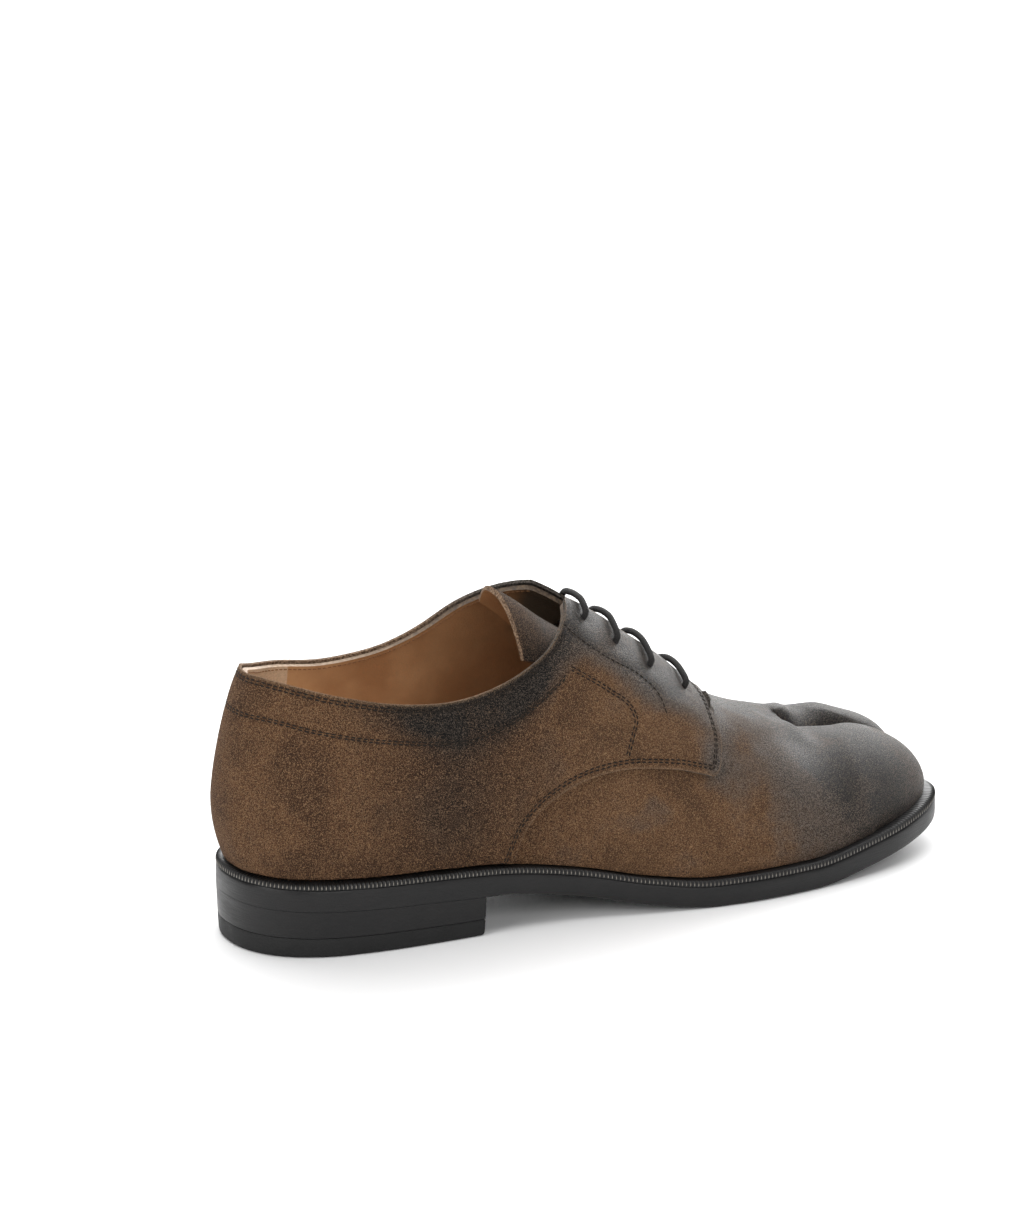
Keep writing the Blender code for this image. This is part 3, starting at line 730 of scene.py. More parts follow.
def edge_knots(distance):
    """A line inside the lower and front edge of the quarter."""
    low, front = (np.linspace(*span, EDGE_SAMPLES) for span in EDGE_SPANS)
    x = np.concatenate([low, front[1:]])
    edge = np.vstack([np.column_stack([x, quarter_low_edge(x)]), EDGE_END])
    line = beside(at_lengths(edge, np.arange(0, arc_length(edge)[-1], EDGE_STEP)), distance)
    return line[polyline_distance(*line.T, edge) > distance - EDGE_SLACK]


# Upper
RIM_DROP = 0.8
RIM_DROP_FADE = (184.0, 174.0)
SIDE_STEPS = 74
VAMP_STEPS = 20
RIDGE_STEPS = 16
FLOOR_STEPS = 10


def lowered(section):
    """An opened section, ended a little below the edge of the layer that lies over it."""
    drop = RIM_DROP * float(ramp(section[-1, 0], *RIM_DROP_FADE))
    whole = arc_length(section[:, :3])[-1]
    return at_lengths(section[:, :3], np.linspace(0, whole - drop, DENSE))


def upper_lines(side):
    """Sections once round, how many of them lie on the outside, and how many of those on the toe."""
    places = [heel_station(side, angle) for angle in quarter_angles(HEEL_STEPS)]
    ridge_x = np.linspace(CLEFT_ROOT_X, POLE_X, RIDGE_STEPS)
    xs = np.concatenate([
        np.linspace(HEEL_FAN_X, THROAT_X, SIDE_STEPS)[1:],
        np.linspace(THROAT_X, CLEFT_ROOT_X, VAMP_STEPS)[1:],
        ridge_x[1:],
        [FACING_TOP_X],
    ])
    places += [side_station(side, x) for x in np.sort(xs)]
    outer = [resampled(lowered(opened(place)), UPPER_ROWS) for place in places]
    ahead = quarter_angles(TOE_STEPS)[1:]
    outer += [resampled(dense_section(toe_station(side, angle)), UPPER_ROWS) for angle in ahead]
    reach = TIP_X[side] - belly_inset(side, TIP_X[side]) - CLEFT_FLOOR_X
    inner_x = [CLEFT_FLOOR_X + reach * math.sin(angle) for angle in ahead[-2::-1]]
    inner_x += list(np.linspace(CLEFT_FLOOR_X, POLE_X, FLOOR_STEPS))
    inner_x += list(ridge_x[-2::-1])
    inner = [resampled(dense_section(cleft_station(side, x)), UPPER_ROWS) for x in inner_x]
    return outer + inner, len(outer), len(ahead)


# Relief of the suede
FLEX_X = 203.0
FLEX_SLANT = 0.12
FLEX_FOLDS = table("rise ahead half", (-0.35, 0, 5), (0.2, 9, 6))
FLEX_HEIGHT = (22.0, 38.0)
WAIST_HOLLOW = Spot(-0.5, 112, 14, 36, 10)
SPLIT_TROUGH = np.array([(222, 1.5), (217, -0.5), (212, -3.5)])
SPLIT_RIDGE = np.array([(236, 21.0), (243, 22.0)])
TROUGH_DEPTH = 2.3
TROUGH_HALF = 3.6
RIDGE_RISE = 1.9
RIDGE_HALF = 8.0
SPLIT_HEIGHT = (36.0, 42.0)
HEEL_FOLDS = (Spot(-0.6, -15, 2.2, 45, 13), Spot(0.45, -9, 4, 43, 15))
HEEL_FOLD_FADE = (30.0, 20.0)
COUNTER_HOLLOW = Spot(-0.5, 58, 16, 58, 12)
WAVE_HEIGHT = 0.12
WAVE_LENGTHS = ((9.0, 14.0), (-17.0, 11.0))
THIN_WALL = Spot(0.92, 221, 13, 5, 9)
THIN_WALL_HEIGHT = (30.0, 42.0)
POLE_PULL = 0.5
POLE_HALF = 14.0
POLE_SHARE = 0.15
POLE_PASSES = 8
ROOT_PULL = Spot(0.5, 215, 7, 5, 9)
ROOT_PASSES = 25
# Where the lining inside the facings gets painted shade: along x, and how far below the top edge
FACING_X = ((117.0, 125.0), (192.0, 188.0))
FACING_BELOW = (26.0, 16.0)


def upper_relief(x, y, z):
    """Soft hollows and ridges of the vamp, in millimetres."""
    flex = sum(fold.rise * hill(x - FLEX_X - fold.ahead - FLEX_SLANT * y, fold.half) for fold in FLEX_FOLDS)
    trough = TROUGH_DEPTH * hill(polyline_distance(x, y, SPLIT_TROUGH), TROUGH_HALF)
    ridge = RIDGE_RISE * hill(polyline_distance(x, y, SPLIT_RIDGE), RIDGE_HALF)
    split = (ridge - trough) * ramp(z, *SPLIT_HEIGHT)
    return flex * ramp(z, *FLEX_HEIGHT) + spot(WAIST_HOLLOW, x, z) + split


def heel_relief(x, y, z):
    """Folds low on the back of the heel, and the soft hollows of the counter."""
    folds = sum(spot(row, y, z) for row in HEEL_FOLDS) * ramp(x, *HEEL_FOLD_FADE)
    waves = WAVE_HEIGHT * math.prod(np.sin(x / along + z / up) for along, up in WAVE_LENGTHS)
    return folds + spot(COUNTER_HOLLOW, x, z) + waves


def rounded_off(mesh, weight, passes):
    """Draws each point of the skin to the middle of its neighbours, by its weight."""
    ends = read_all(mesh.edges, "vertices", 2, np.int32)
    first, second = ends.T
    count = np.bincount(ends.ravel(), minlength=len(mesh.vertices))[:, None]
    places = mesh_points(mesh)
    for _ in range(passes):
        total = np.zeros_like(places)
        np.add.at(total, first, places[second])
        np.add.at(total, second, places[first])
        places += weight[:, None] * (total / count - places)
    move_points(mesh, places)


def upper_skin():
    """The outside of the upper, with the floor of the split, and the share of the wall at each point."""
    points, faces, lines, floor_edges = [], [], [], {}
    for side in SIDES:
        whole, before, ahead = upper_lines(side)
        first = loft(whole, side, points, faces)
        floor_edges[side] = [first + k * (UPPER_ROWS + 1) for k in range(before + ahead - 2, len(whole))]
        lines += whole
    near, far = floor_edges[LATERAL], floor_edges[MEDIAL]
    for k in range(len(near) - 1):
        faces.append((near[k], far[k], far[k + 1], near[k + 1]))
    mesh = make_mesh("upper_skin", points, faces, {"below": from_top(lines), "share": up_share(lines)})
    share, below = column(mesh, "share"), column(mesh, "below")
    near_pole = hill(mesh_points(mesh)[:, 0] - POLE_X, POLE_HALF) * ramp(share, 0, POLE_SHARE)
    rounded_off(mesh, POLE_PULL * near_pole, POLE_PASSES)
    x, y, z = mesh_points(mesh).T
    set_column(mesh, "burnish", burnish(x, y, z, share))
    # The lining inside the facings gets a painted shade, where it lies in shadow by the tongue
    set_column(mesh, "facing", ramp(x, *FACING_X[0]) * ramp(below, *FACING_BELOW) * ramp(x, *FACING_X[1]))
    raise_points(mesh, upper_relief(x, y, z))
    x, y, z = mesh_points(mesh).T
    rounded_off(mesh, spot(ROOT_PULL, x, y) * ramp(z, *SPLIT_HEIGHT), ROOT_PASSES)
    x, y, z = mesh_points(mesh).T
    return mesh, 1 - spot(THIN_WALL, x, y) * ramp(z, *THIN_WALL_HEIGHT)


# Quarters
QUARTER_SPANS = ((37.5, 92, 1.5), (92, 104, 0.6), (104, 166, 1.0))
QUARTER_FRONT = (166, 180, 30)
BAND_FADE = (120.0, 116.0)
TOPLINE_FADE = (121.0, 117.0)
EYELET_DIP = 0.5
EYELET_DIP_HALF = 2.4
GROOVE_DEPTH = 0.22
GROOVE_WIDTH = 1.1
RAW_WIDTH = 0.6
RAW_RUN = 4.0
WORN_X = (80.0, 110.0)


def quarter_places(side):
    places = [heel_station(side, angle) for angle in quarter_angles(HEEL_STEPS)]
    spans = [np.arange(*span) for span in QUARTER_SPANS]
    return places + [side_station(side, x) for x in np.concatenate([*spans, np.linspace(*QUARTER_FRONT)])]


def seam_mask(x, z, below):
    """1 along the sewn lines of the quarter, falling to 0 beside them."""
    lines = (seam_knots(UPPER_EYESTAY), beside(seam_knots(LOWER_EYESTAY), ROW_APART / 2),
             edge_knots(sum(EDGE_ROWS) / 2))
    masks = [hill(polyline_distance(x, z, line), GROOVE_WIDTH) for line in lines]
    band = z - look_up(BAND, "height", x) + ROW_APART / 2
    masks.append(hill(band, GROOVE_WIDTH) * ramp(x, *BAND_FADE))
    masks.append(hill(below - sum(TOPLINE_ROWS) / 2, GROOVE_WIDTH) * ramp(x, *TOPLINE_FADE))
    return np.max(masks, axis=0)


def eyelet_puckers(x, y):
    holes = [along_bar(row, side) for row in EYELETS for side in SIDES]
    return np.max([hill(np.hypot(x - hole[0], y - hole[1]), EYELET_DIP_HALF) for hole in holes], axis=0)


def quarter_skin():
    points, faces, lines = [], [], []
    for side in SIDES:
        row = []
        for place in quarter_places(side):
            whole = opened(place)
            low = max(quarter_low_edge(place.belly[0]), whole[0, 2] + QUARTER_RISE)
            row.append(resampled_from_top(started_at(whole, low)))
        loft(row, side, points, faces)
        lines += row
    above = np.concatenate([arc_length(line) for line in lines])
    mesh = make_mesh("quarter_skin", points, faces,
                     {"below": from_top(lines), "above": above, "share": up_share(lines)})
    x, y, z = mesh_points(mesh).T
    below = column(mesh, "below")
    seam = seam_mask(x, z, below)
    at_low_edge = hill(column(mesh, "above"), RAW_WIDTH) * ease((x - QUARTER[0].x) / RAW_RUN)
    set_column(mesh, "seam", seam)
    # Strip along the quarter's raw edges: its pale colour is partly the cut edge's own paler fibres and
    # partly a painted highlight where the rounded edge would catch light
    set_column(mesh, "raw_edge_and_highlight", np.maximum(hill(below, RAW_WIDTH), at_low_edge))
    set_column(mesh, "burnish", burnish(x, y, z, column(mesh, "share")))
    set_column(mesh, "worn", ramp(x, *WORN_X))
    lift = LAYER_GAP + QUARTER_THICKNESS - GROOVE_DEPTH * seam - EYELET_DIP * eyelet_puckers(x, y)
    raise_points(mesh, lift + heel_relief(x, y, z) + upper_relief(x, y, z))
    return mesh


# Tongue
def tongue_skin():
    lines = []
    for x in np.linspace(TONGUE_BACK_X, TONGUE_FRONT_X, TONGUE_STEPS + 1):
        half, to_lateral, sag = (look_up(TONGUE, field, x) for field in ("half_width", "to_lateral", "sag"))
        turns = np.linspace(-math.pi / 2, math.pi / 2, TONGUE_ROWS + 1)
        across = crest_y(LATERAL, x) - to_lateral + half * np.sin(turns)
        lines.append(np.array([(x, y, form_height(x, y) - sag) for y in across]))
    points, faces = [], []
    loft(lines, LATERAL, points, faces)
    mesh = make_mesh("tongue_skin", points, faces)
    raise_points(mesh, -(WALL + TONGUE_GAP))
    set_column(mesh, "burnish", TONGUE_BURNISH)
    return mesh


# Sole layers
Loop = namedtuple("Loop", "points outer inner")


def sole_loop(inset, half_gap, notch_x):
    """Plan of a whole sole layer: its points, and which of them are each side's outer and inner edge."""
    points = [(inset(0), 0.0)]
    outer = {LATERAL: [0], MEDIAL: [0]}
    inner = {}
    for side in SIDES:
        plan = []
        for angle in quarter_angles(HEEL_STEPS)[1:]:
            edge = inset(fan_x(0, angle))
            x = fan_x(edge, angle)
            plan.append((x, outer_edge(side, x, edge)))
        for x in np.linspace(HEEL_FAN_X, notch_x, SOLE_SIDE_STEPS + 1)[1:]:
            plan.append((x, outer_edge(side, x, inset(x))))
        edge = inset(TIP_X[side])
        turns = [math.sin(angle) for angle in quarter_angles(TOE_STEPS)]
        toe_x = [notch_x + (TIP_X[side] - edge - notch_x) * turn for turn in turns]
        plan += [(x, outer_edge(side, x, edge)) for x in toe_x[1:]]
        back = [(x, inner_edge(side, x, edge, half_gap)) for x in toe_x[-2::-1]]
        start = len(points)
        points += plan + back
        outer[side] += list(range(start, start + len(plan)))
        inner[side] = list(range(start + len(plan) + len(back) - 1, start + len(plan) - 2, -1))
    return Loop(np.array(points), outer, inner)


def loop_order(loop):
    """The path once round: lateral side, both sides of the split, medial side."""
    return (loop.outer[LATERAL] + loop.inner[LATERAL][-2::-1] + loop.inner[MEDIAL]
            + loop.outer[MEDIAL][-2:0:-1])


def cap_faces(loop):
    """Strips across a sole layer, facing up."""
    left, right = loop.outer[LATERAL], loop.outer[MEDIAL]
    split = len(left) - len(loop.inner[LATERAL])
    faces = [(left[0], left[1], right[1])]
    faces += [(left[k], left[k + 1], right[k + 1], right[k]) for k in range(1, split - 1)]
    root = (loop.inner[LATERAL][0], loop.inner[MEDIAL][0])
    faces.append((left[split - 1], left[split], *root, right[split], right[split - 1]))
    for side in SIDES:
        out, back = loop.outer[side][split:], loop.inner[side]
        for k in range(len(back) - 1):
            at_tip = k == len(back) - 2
            strip = (out[k], out[k + 1], back[k]) if at_tip else (out[k], out[k + 1], back[k + 1], back[k])
            faces.append(strip if side == LATERAL else strip[::-1])
    return faces


def stacked(name, layers, order, caps):
    """A solid from matching plan layers, given bottom first as points and heights."""
    points, faces = [], []
    count = len(layers[0][0])
    for plan, height in layers:
        points.extend(np.column_stack([plan, height]))
    for level in range(len(layers) - 1):
        low = level * count
        for k, here in enumerate(order):
            there = order[(k + 1) % len(order)]
            faces.append((low + here, low + there, low + count + there, low + count + here))
    top = (len(layers) - 1) * count
    faces += [tuple(top + k for k in face) for face in caps]
    faces += [face[::-1] for face in caps]
    return make_mesh(name, points, faces)


OUTSOLE_PROFILE = table(
    "inset rise",
    (1.1, 0.0), (0.55, 0.25), (0.25, 0.7), (0.08, 1.6), (0.0, 3.6), (0.03, 5.8), (0.12, 6.9),
    (0.3, 7.5), (0.6, OUTSOLE_THICKNESS),
)
CHAMFER_RUN = 10.0
UPPER_PROFILE_RISE = 4.0


def outsole_mesh():
    layers = []
    for row in OUTSOLE_PROFILE:
        def inset(x, row=row):
            in_front = ease((x - HEEL_BREAST_X) / CHAMFER_RUN)
            return row.inset * (in_front if row.rise < UPPER_PROFILE_RISE else 1.0)

        loop = sole_loop(inset, CLEFT_GAP / 2, SOLE_NOTCH_X)
        layers.append((loop.points, outsole_under(loop.points[:, 0]) + row.rise))
    return stacked("outsole_leather", layers, loop_order(loop), cap_faces(loop))


# The last column is how much pale painted highlight each row gives the crests of the ribs
WELT_PROFILE = table(
    "inset rise rib tick",
    (0.5, 0.0, 0.0, 0.0),
    (0.12, 0.2, 0.3, 0.0),
    (0.0, 0.55, 0.8, 0.9),
    (0.0, 0.95, 1.0, 1.0),
    (0.05, 1.35, 1.0, 0.35),
    (0.3, 1.8, 1.0, 0.0),
    (1.0, 2.0, 0.7, 0.0),
    (1.9, 2.0, 0.1, 0.0),
)
WELT_RIB_PITCH = 1.5
WELT_RIB_DEPTH = 0.42
WELT_RIB_SINK = 0.5
RIB_SHARPNESS = 0.7
CREST_HIGHLIGHT_FADE = (0.35, 0.05)
SAMPLES_PER_RIB = 6


def inner_inset(x):
    """How far the welt reaches in from the sole's edge, under the wall of the upper."""
    return look_up(LAST, "ledge", x) + WELT_UNDER_WALL


INSOLE_THICKNESS = 3.0
INSOLE_NOTCH_X = 240.0
COVER_REACH = 2.0
COVER_THICKNESS = 0.8


def insole_mesh():
    """The board, with a thin cover that reaches over the welt to the foot of the wall."""
    under = INSOLE_THICKNESS - COVER_THICKNESS
    layers = []
    for rise, reach in ((0, 0), (under, 0), (under, COVER_REACH), (INSOLE_THICKNESS, COVER_REACH)):
        half_gap = CLEFT_GAP / 2 + WELT_UNDER_WALL + WELT_GAP - reach
        loop = sole_loop(lambda x: inner_inset(x) + WELT_GAP - reach, half_gap, INSOLE_NOTCH_X)
        layers.append((loop.points, outsole_top(loop.points[:, 0]) + WELT_GAP + rise))
    return stacked("insole_leather", layers, loop_order(loop), cap_faces(loop))


def welt_mesh():
    """A ring with pressed ribs over its top edge; its inner edge lies under the wall of the upper."""
    edge = sole_loop(lambda x: 0.0, CLEFT_GAP / 2, SOLE_NOTCH_X)
    under = sole_loop(inner_inset, CLEFT_GAP / 2 + WELT_UNDER_WALL, WELT_NOTCH_X)
    order = loop_order(edge)
    in_split = set(edge.inner[LATERAL]) | set(edge.inner[MEDIAL])
    closed = order + order[:1]
    flags = np.array([0.0 if k in in_split else 1.0 for k in closed])
    path = np.column_stack([edge.points[closed], under.points[closed], flags])
    length = arc_length(path[:, :2])
    ribs = round(length[-1] / WELT_RIB_PITCH)
    steps = np.arange(ribs * SAMPLES_PER_RIB) / (ribs * SAMPLES_PER_RIB)
    path = np.column_stack([np.interp(steps * length[-1], length, values) for values in path.T])
    valley = (0.5 - 0.5 * np.cos(2 * math.pi * ribs * steps)) ** RIB_SHARPNESS * path[:, 4]
    inward = path[:, 2:4] - path[:, :2]
    width = np.linalg.norm(inward, axis=1)
    inward /= width[:, None]
    low = outsole_top(path[:, 0])
    rise_all = WELT_THICKNESS + WELT_GAP
    rings, crest_highlights = [], []
    for row in WELT_PROFILE:
        inset = np.minimum(row.inset + row.rib * WELT_RIB_DEPTH * valley, width)
        xy = path[:, :2] + inward * inset[:, None]
        z = low + row.rise * rise_all / WELT_THICKNESS - row.rib * WELT_RIB_SINK * valley
        rings.append(np.column_stack([xy, np.maximum(z, low)]))
        # Pale painted highlight on the crests of the ribs, where light would catch them
        crest_highlights.append(row.tick * ramp(valley, *CREST_HIGHLIGHT_FADE) * path[:, 4])
    rings.append(np.column_stack([path[:, 2:4], low + rise_all]))
    rings.append(np.column_stack([path[:, 2:4], low]))
    crest_highlights += [np.zeros(len(steps))] * 2
    faces = ring_faces(0, len(rings), len(steps), closed=True)
    return make_mesh("welt_ribbed", np.vstack(rings), faces, {"tick": np.concatenate(crest_highlights)})


def heel_loop(inset):
    """Plan of a heel layer, round at the back and straight at the breast."""
    plan = [(inset, 0.0)]
    for side in SIDES:
        xs = [fan_x(inset, angle) for angle in quarter_angles(HEEL_STEPS)[1:]]
        xs += list(np.linspace(HEEL_FAN_X, HEEL_BREAST_X - inset, HEEL_SIDE_STEPS + 1)[1:])
        plan += [(x, outer_edge(side, x, inset)) for x in xs]
    count = len(xs)
    left = list(range(1, count + 1))
    right = list(range(count + 1, 2 * count + 1))
    caps = [(0, left[0], right[0])]
    caps += [(left[k], left[k + 1], right[k + 1], right[k]) for k in range(count - 1)]
    return np.array(plan), [0, *left, *right[::-1]], caps


def lift_top(x):
    return TOP_LIFT_BACK + (TOP_LIFT_BREAST - TOP_LIFT_BACK) * x / HEEL_BREAST_X


HEEL_LAYERS = 3
LAYER_LINE_DEPTH = 0.008
LAYER_LINE_WIDTH = 0.25
HEEL_GAP = 0.12
HEEL_FOOT_INSET = 0.25
HEEL_FOOT_SHARE = 0.02


def heel_stack_mesh():
    """Leather layers with a fine line between them, from the top lift up to the sole."""
    levels = [(0.0, HEEL_FOOT_INSET, 0.0), (HEEL_FOOT_SHARE, 0.0, 0.0)]
    for k in range(1, HEEL_LAYERS):
        share = k / HEEL_LAYERS
        levels += [(share, 0.0, -LAYER_LINE_WIDTH), (share, LAYER_LINE_DEPTH, 0.0),
                   (share, 0.0, LAYER_LINE_WIDTH)]
    layers = []
    for share, inset, shift in (*levels, (1.0, 0.0, 0.0)):
        plan, order, caps = heel_loop(HEEL_TAPER / 2 * (1 - share) + inset)
        low = lift_top(plan[:, 0]) + HEEL_GAP
        high = outsole_under(plan[:, 0]) - HEEL_GAP
        layers.append((plan, low + (high - low) * share + shift))
    return stacked("heel_stack_leather", layers, order, caps)


TOP_LIFT_PROFILE = table(
    "inset rise",
    (0.7, 0.0), (0.25, 0.06), (0.05, 0.18), (0.0, 0.5), (0.0, 0.9), (0.25, 1.0),
)


def top_lift_mesh():
    layers = []
    for row in TOP_LIFT_PROFILE:
        taper = HEEL_TAPER - HEEL_TAPER / 2 * row.rise
        plan, order, caps = heel_loop(taper + row.inset)
        layers.append((plan, lift_top(plan[:, 0]) * row.rise))
    return stacked("heel_top_lift_rubber", layers, order, caps)


# Lace
BRAID_SIDES = 16
BRAID_STEP = 0.3
BRAID_TURNS = 4
BRAID_PITCH = 3.2
BRAID_DEPTH = 0.09
HIDDEN_RADIUS = 0.65
HIDDEN_DEPTH = 2.6
LACE_BULGE = 0.3
LACE_RISE = 0.9
LACE_OUTSIDE = LAYER_GAP + QUARTER_THICKNESS + LACE_RADIUS
BAR_KNOTS = 5
LACE_DIVE = table(
    "share lift radius",
    (1.0, -HIDDEN_DEPTH, HIDDEN_RADIUS), (1.0, -0.3, 0.95), (0.99, 1.6, 1.15),
    (0.95, LACE_OUTSIDE - 0.1, LACE_RADIUS), (0.87, LACE_OUTSIDE + 0.25, LACE_RADIUS),
    (0.72, LACE_OUTSIDE + LACE_BULGE, LACE_RADIUS),
)
LACE_BACK_UP = table("x from_middle", (166, 18.0), (154, 17.5), (142, 15.5), (137.5, 14.0))


def lace_route():
    """The lace through all eyelets as x, y, z and radius; both ends stop inside, by the top eyelet."""
    route = []
    heading = MEDIAL
    for row in EYELETS:
        def dive(side, knots, row=row):
            return [(*off_form(*along_bar(row, side * knot.share), knot.lift), knot.radius)
                    for knot in knots]

        def throat_edge(side, row=row):
            half = look_up(THROAT, side_name(side), row.x + (LACE_SKEW if side == MEDIAL else 0))
            return off_form(*along_bar(row, side * half / row.from_middle), LACE_OUTSIDE + LACE_BULGE)

        start, end = throat_edge(heading), throat_edge(-heading)
        route += dive(heading, LACE_DIVE)
        for share in np.linspace(0, 1, BAR_KNOTS):
            rise = np.array([0, 0, 4 * LACE_RISE * share * (1 - share)])
            route.append((*(start * (1 - share) + end * share + rise), LACE_RADIUS))
        route += dive(-heading, LACE_DIVE[::-1])
        heading = -heading
    for row in LACE_BACK_UP:
        place = off_form(row.x, crest_y(LATERAL, row.x) + row.from_middle, -HIDDEN_DEPTH)
        route.append((*place, HIDDEN_RADIUS))
    return np.array(route)


def lace_mesh():
    path = smooth_path(lace_route(), BRAID_STEP)
    along = unit(np.gradient(path[:, :3], axis=0))
    side_ways = np.cross(along[0], (0.0, 0.0, 1.0))
    points = []
    weave_angles = BRAID_TURNS * round_angles(BRAID_SIDES) / 2
    for k, (place, direction) in enumerate(zip(path, along)):
        side_ways = unit(side_ways - direction * (side_ways @ direction))
        phase = 2 * math.pi * k * BRAID_STEP / BRAID_PITCH
        weave = np.sin(weave_angles + phase) * np.sin(weave_angles - phase)
        radius = place[3] * (1 + BRAID_DEPTH * np.abs(weave) - BRAID_DEPTH)
        ring = circle(BRAID_SIDES, side_ways, np.cross(direction, side_ways))
        points.extend(place[:3] + ring * radius[:, None])
    return make_mesh("lace_threaded", points, tube_faces(0, len(path), BRAID_SIDES), weld=False)


# Stitching
def surface_tree(mesh):
    points = [Vector(point) for point in mesh_points(mesh).tolist()]
    return BVHTree.FromPolygons(points, [tuple(face.vertices) for face in mesh.polygons])


def on_surface(tree, points, lift):
    """The nearest places on a skin, a little off it, and the normals there."""
    places, normals = [], []
    for point in points:
        near, normal, _, _ = tree.find_nearest(Vector(point))
        places.append(np.array(near + normal * lift))
        normals.append(np.array(normal))
    return np.array(places), np.array(normals)


def at_height(section, height):
    return np.array([np.interp(height, section[:, 2], section[:, k]) for k in range(3)])


def seam_on_side(side, knots):
    """A side-view line laid on one side of the form."""
    return np.array([at_height(dense_section(side_station(side, x)), z) for x, z in knots])


def band_line(side, down):
    line = []
    for place in quarter_places(side):
        section = dense_section(place)
        if place.belly[0] > BAND[-1].x:
            break
        over = section[:, 2] - look_up(BAND, "height", section[:, 0]) + down
        line.append(cut_where(section, over)[-1, :3])
    return np.array(line)


def topline_line(side, down, last_x):
    line = []
    name = side_name(side)
    for place in quarter_places(side):
        x = place.belly[0]
        if x > last_x:
            break
        slope = look_up(TOPLINE, name, x + 1) - look_up(TOPLINE, name, x - 1)
        section = opened(place)[:, :3]
        whole = arc_length(section)[-1]
        line.append(at_lengths(section, [whole - down * math.hypot(1, slope / 2)])[0])
    return np.array(line)


StitchSize = namedtuple("StitchSize", "pitch length radius")
SEAM_STITCH = StitchSize(2.2, 1.8, 0.3)
FINE_STITCH = StitchSize(1.9, 1.4, 0.22)
STITCH_SIDES = 6
STITCH_SINK = 0.9
SEAM_LIFT = 0.02
LINING_LIFT = -0.03
LINING_END_X = 124.0
STITCH_RINGS = ((-1.0, 0.25), (-0.8, 0.8), (0.0, 1.0), (0.8, 0.8), (1.0, 0.25))


def add_stitches(tree, line, lift, size, points, faces):
    """A row of short thread loops along a line on a skin."""
    whole = arc_length(line)[-1]
    starts = np.arange(size.pitch / 2, whole - size.pitch / 2, size.pitch)
    half = size.length / 2
    heads, normals = on_surface(tree, at_lengths(line, starts - half), lift)
    tails, _ = on_surface(tree, at_lengths(line, starts + half), lift)
    for head, tail, normal in zip(heads, tails, normals):
        middle, reach = (head + tail) / 2, (tail - head) / 2
        ring = circle(STITCH_SIDES, unit(np.cross(normal, unit(reach))), normal)
        first = len(points)
        for share, width in STITCH_RINGS:
            sink = normal * size.radius * STITCH_SINK * share ** 4
            points.extend(middle + reach * share - sink + ring * size.radius * width)
        faces += tube_faces(first, len(STITCH_RINGS), STITCH_SIDES)


def quarter_stitching(tree):
    points, faces = [], []
    for side in SIDES:
        lines = [topline_line(side, down, TOPLINE_FADE[0]) for down in TOPLINE_ROWS]
        lines += [band_line(side, down) for down in (0.0, ROW_APART)]
        lower = seam_knots(LOWER_EYESTAY)
        lines += [seam_on_side(side, beside(lower, apart)) for apart in (0.0, ROW_APART)]
        lines.append(seam_on_side(side, seam_knots(UPPER_EYESTAY)))
        lines += [seam_on_side(side, edge_knots(distance)) for distance in EDGE_ROWS]
        for line in lines:
            add_stitches(tree, line, SEAM_LIFT, SEAM_STITCH, points, faces)
    return make_mesh("seam_stitching", points, faces, weld=False)


def lining_stitching(tree):
    points, faces = [], []
    for side in SIDES:
        line = topline_line(side, LINING_ROW, LINING_END_X)
        add_stitches(tree, line, LINING_LIFT - WALL, FINE_STITCH, points, faces)
    return make_mesh("lining_stitching", points, faces, weld=False)


# Eyelets
HOLE_RADIUS = 1.75
HOLE_SIDES = 24
HOLE_RINGS = ((1.0, 0.02), (0.9, 0.1), (0.75, 0.02), (0.6, -0.45), (0.0, -0.6))


def eyelet_mesh(tree):
    """Punched holes with a turned-in edge, sunk in the facing; all near-black, as painted shade for the
    hole's shadowed rim and hollow.
    """
    points, faces = [], []
    for row in EYELETS:
        for side in SIDES:
            at_hole = off_form(*along_bar(row, side), LAYER_GAP + QUARTER_THICKNESS)
            (place,), (normal,) = on_surface(tree, [at_hole], 0.0)
            across = unit(np.cross(normal, (1.0, 0.0, 0.0)))
            ring = circle(HOLE_SIDES, across, np.cross(across, normal))
            quads = ring_faces(len(points), len(HOLE_RINGS), HOLE_SIDES)
            faces += [(a, d, c, b) for a, b, c, d in quads]
            for share, lift in HOLE_RINGS:
                points.extend(place + ring * HOLE_RADIUS * share + normal * lift)
    return make_mesh("eyelet_holes", points, faces)


# Nap
NapSize = namedtuple("NapSize", "count shortest longest width stand")
NAP = NapSize(30000, 0.35, 0.9, 0.07, 0.35)
EDGE_NAP = NapSize(11000, 0.4, 1.2, 0.08, 0.5)
FRAY_END_X = 171.0
FRAY_TOP = 57.0
VAMP_NAP_X = 178.0
NAP_SHY = 0.9
RIM_END_X = 170.0
RIM_INSIDE = 0.15
RIM_STEP = 0.2
RIM_LIFT = -0.3
RIM_SCATTER = 0.35
LEAST_STAND = 0.2


def skin_samples(mesh, count):
    """Random places on a skin with their normals and burnish."""
    corners = np.array([face.vertices[:3] for face in mesh.polygons])
    places, normals, dark = mesh_points(mesh), mesh_normals(mesh), column(mesh, "burnish")
    a, b, c = (places[corners[:, k]] for k in range(3))
    area = np.linalg.norm(np.cross(b - a, c - a), axis=1)
    chosen = random.choice(len(corners), count, p=area / area.sum())
    shares = random.dirichlet((1, 1, 1), count)
    picked = corners[chosen]

    def mixed(values):
        return sum(values[picked[:, k]] * (shares[:, k] if values.ndim == 1 else shares[:, k:k + 1])
                   for k in range(3))

    return mixed(places), mixed(normals), mixed(dark)


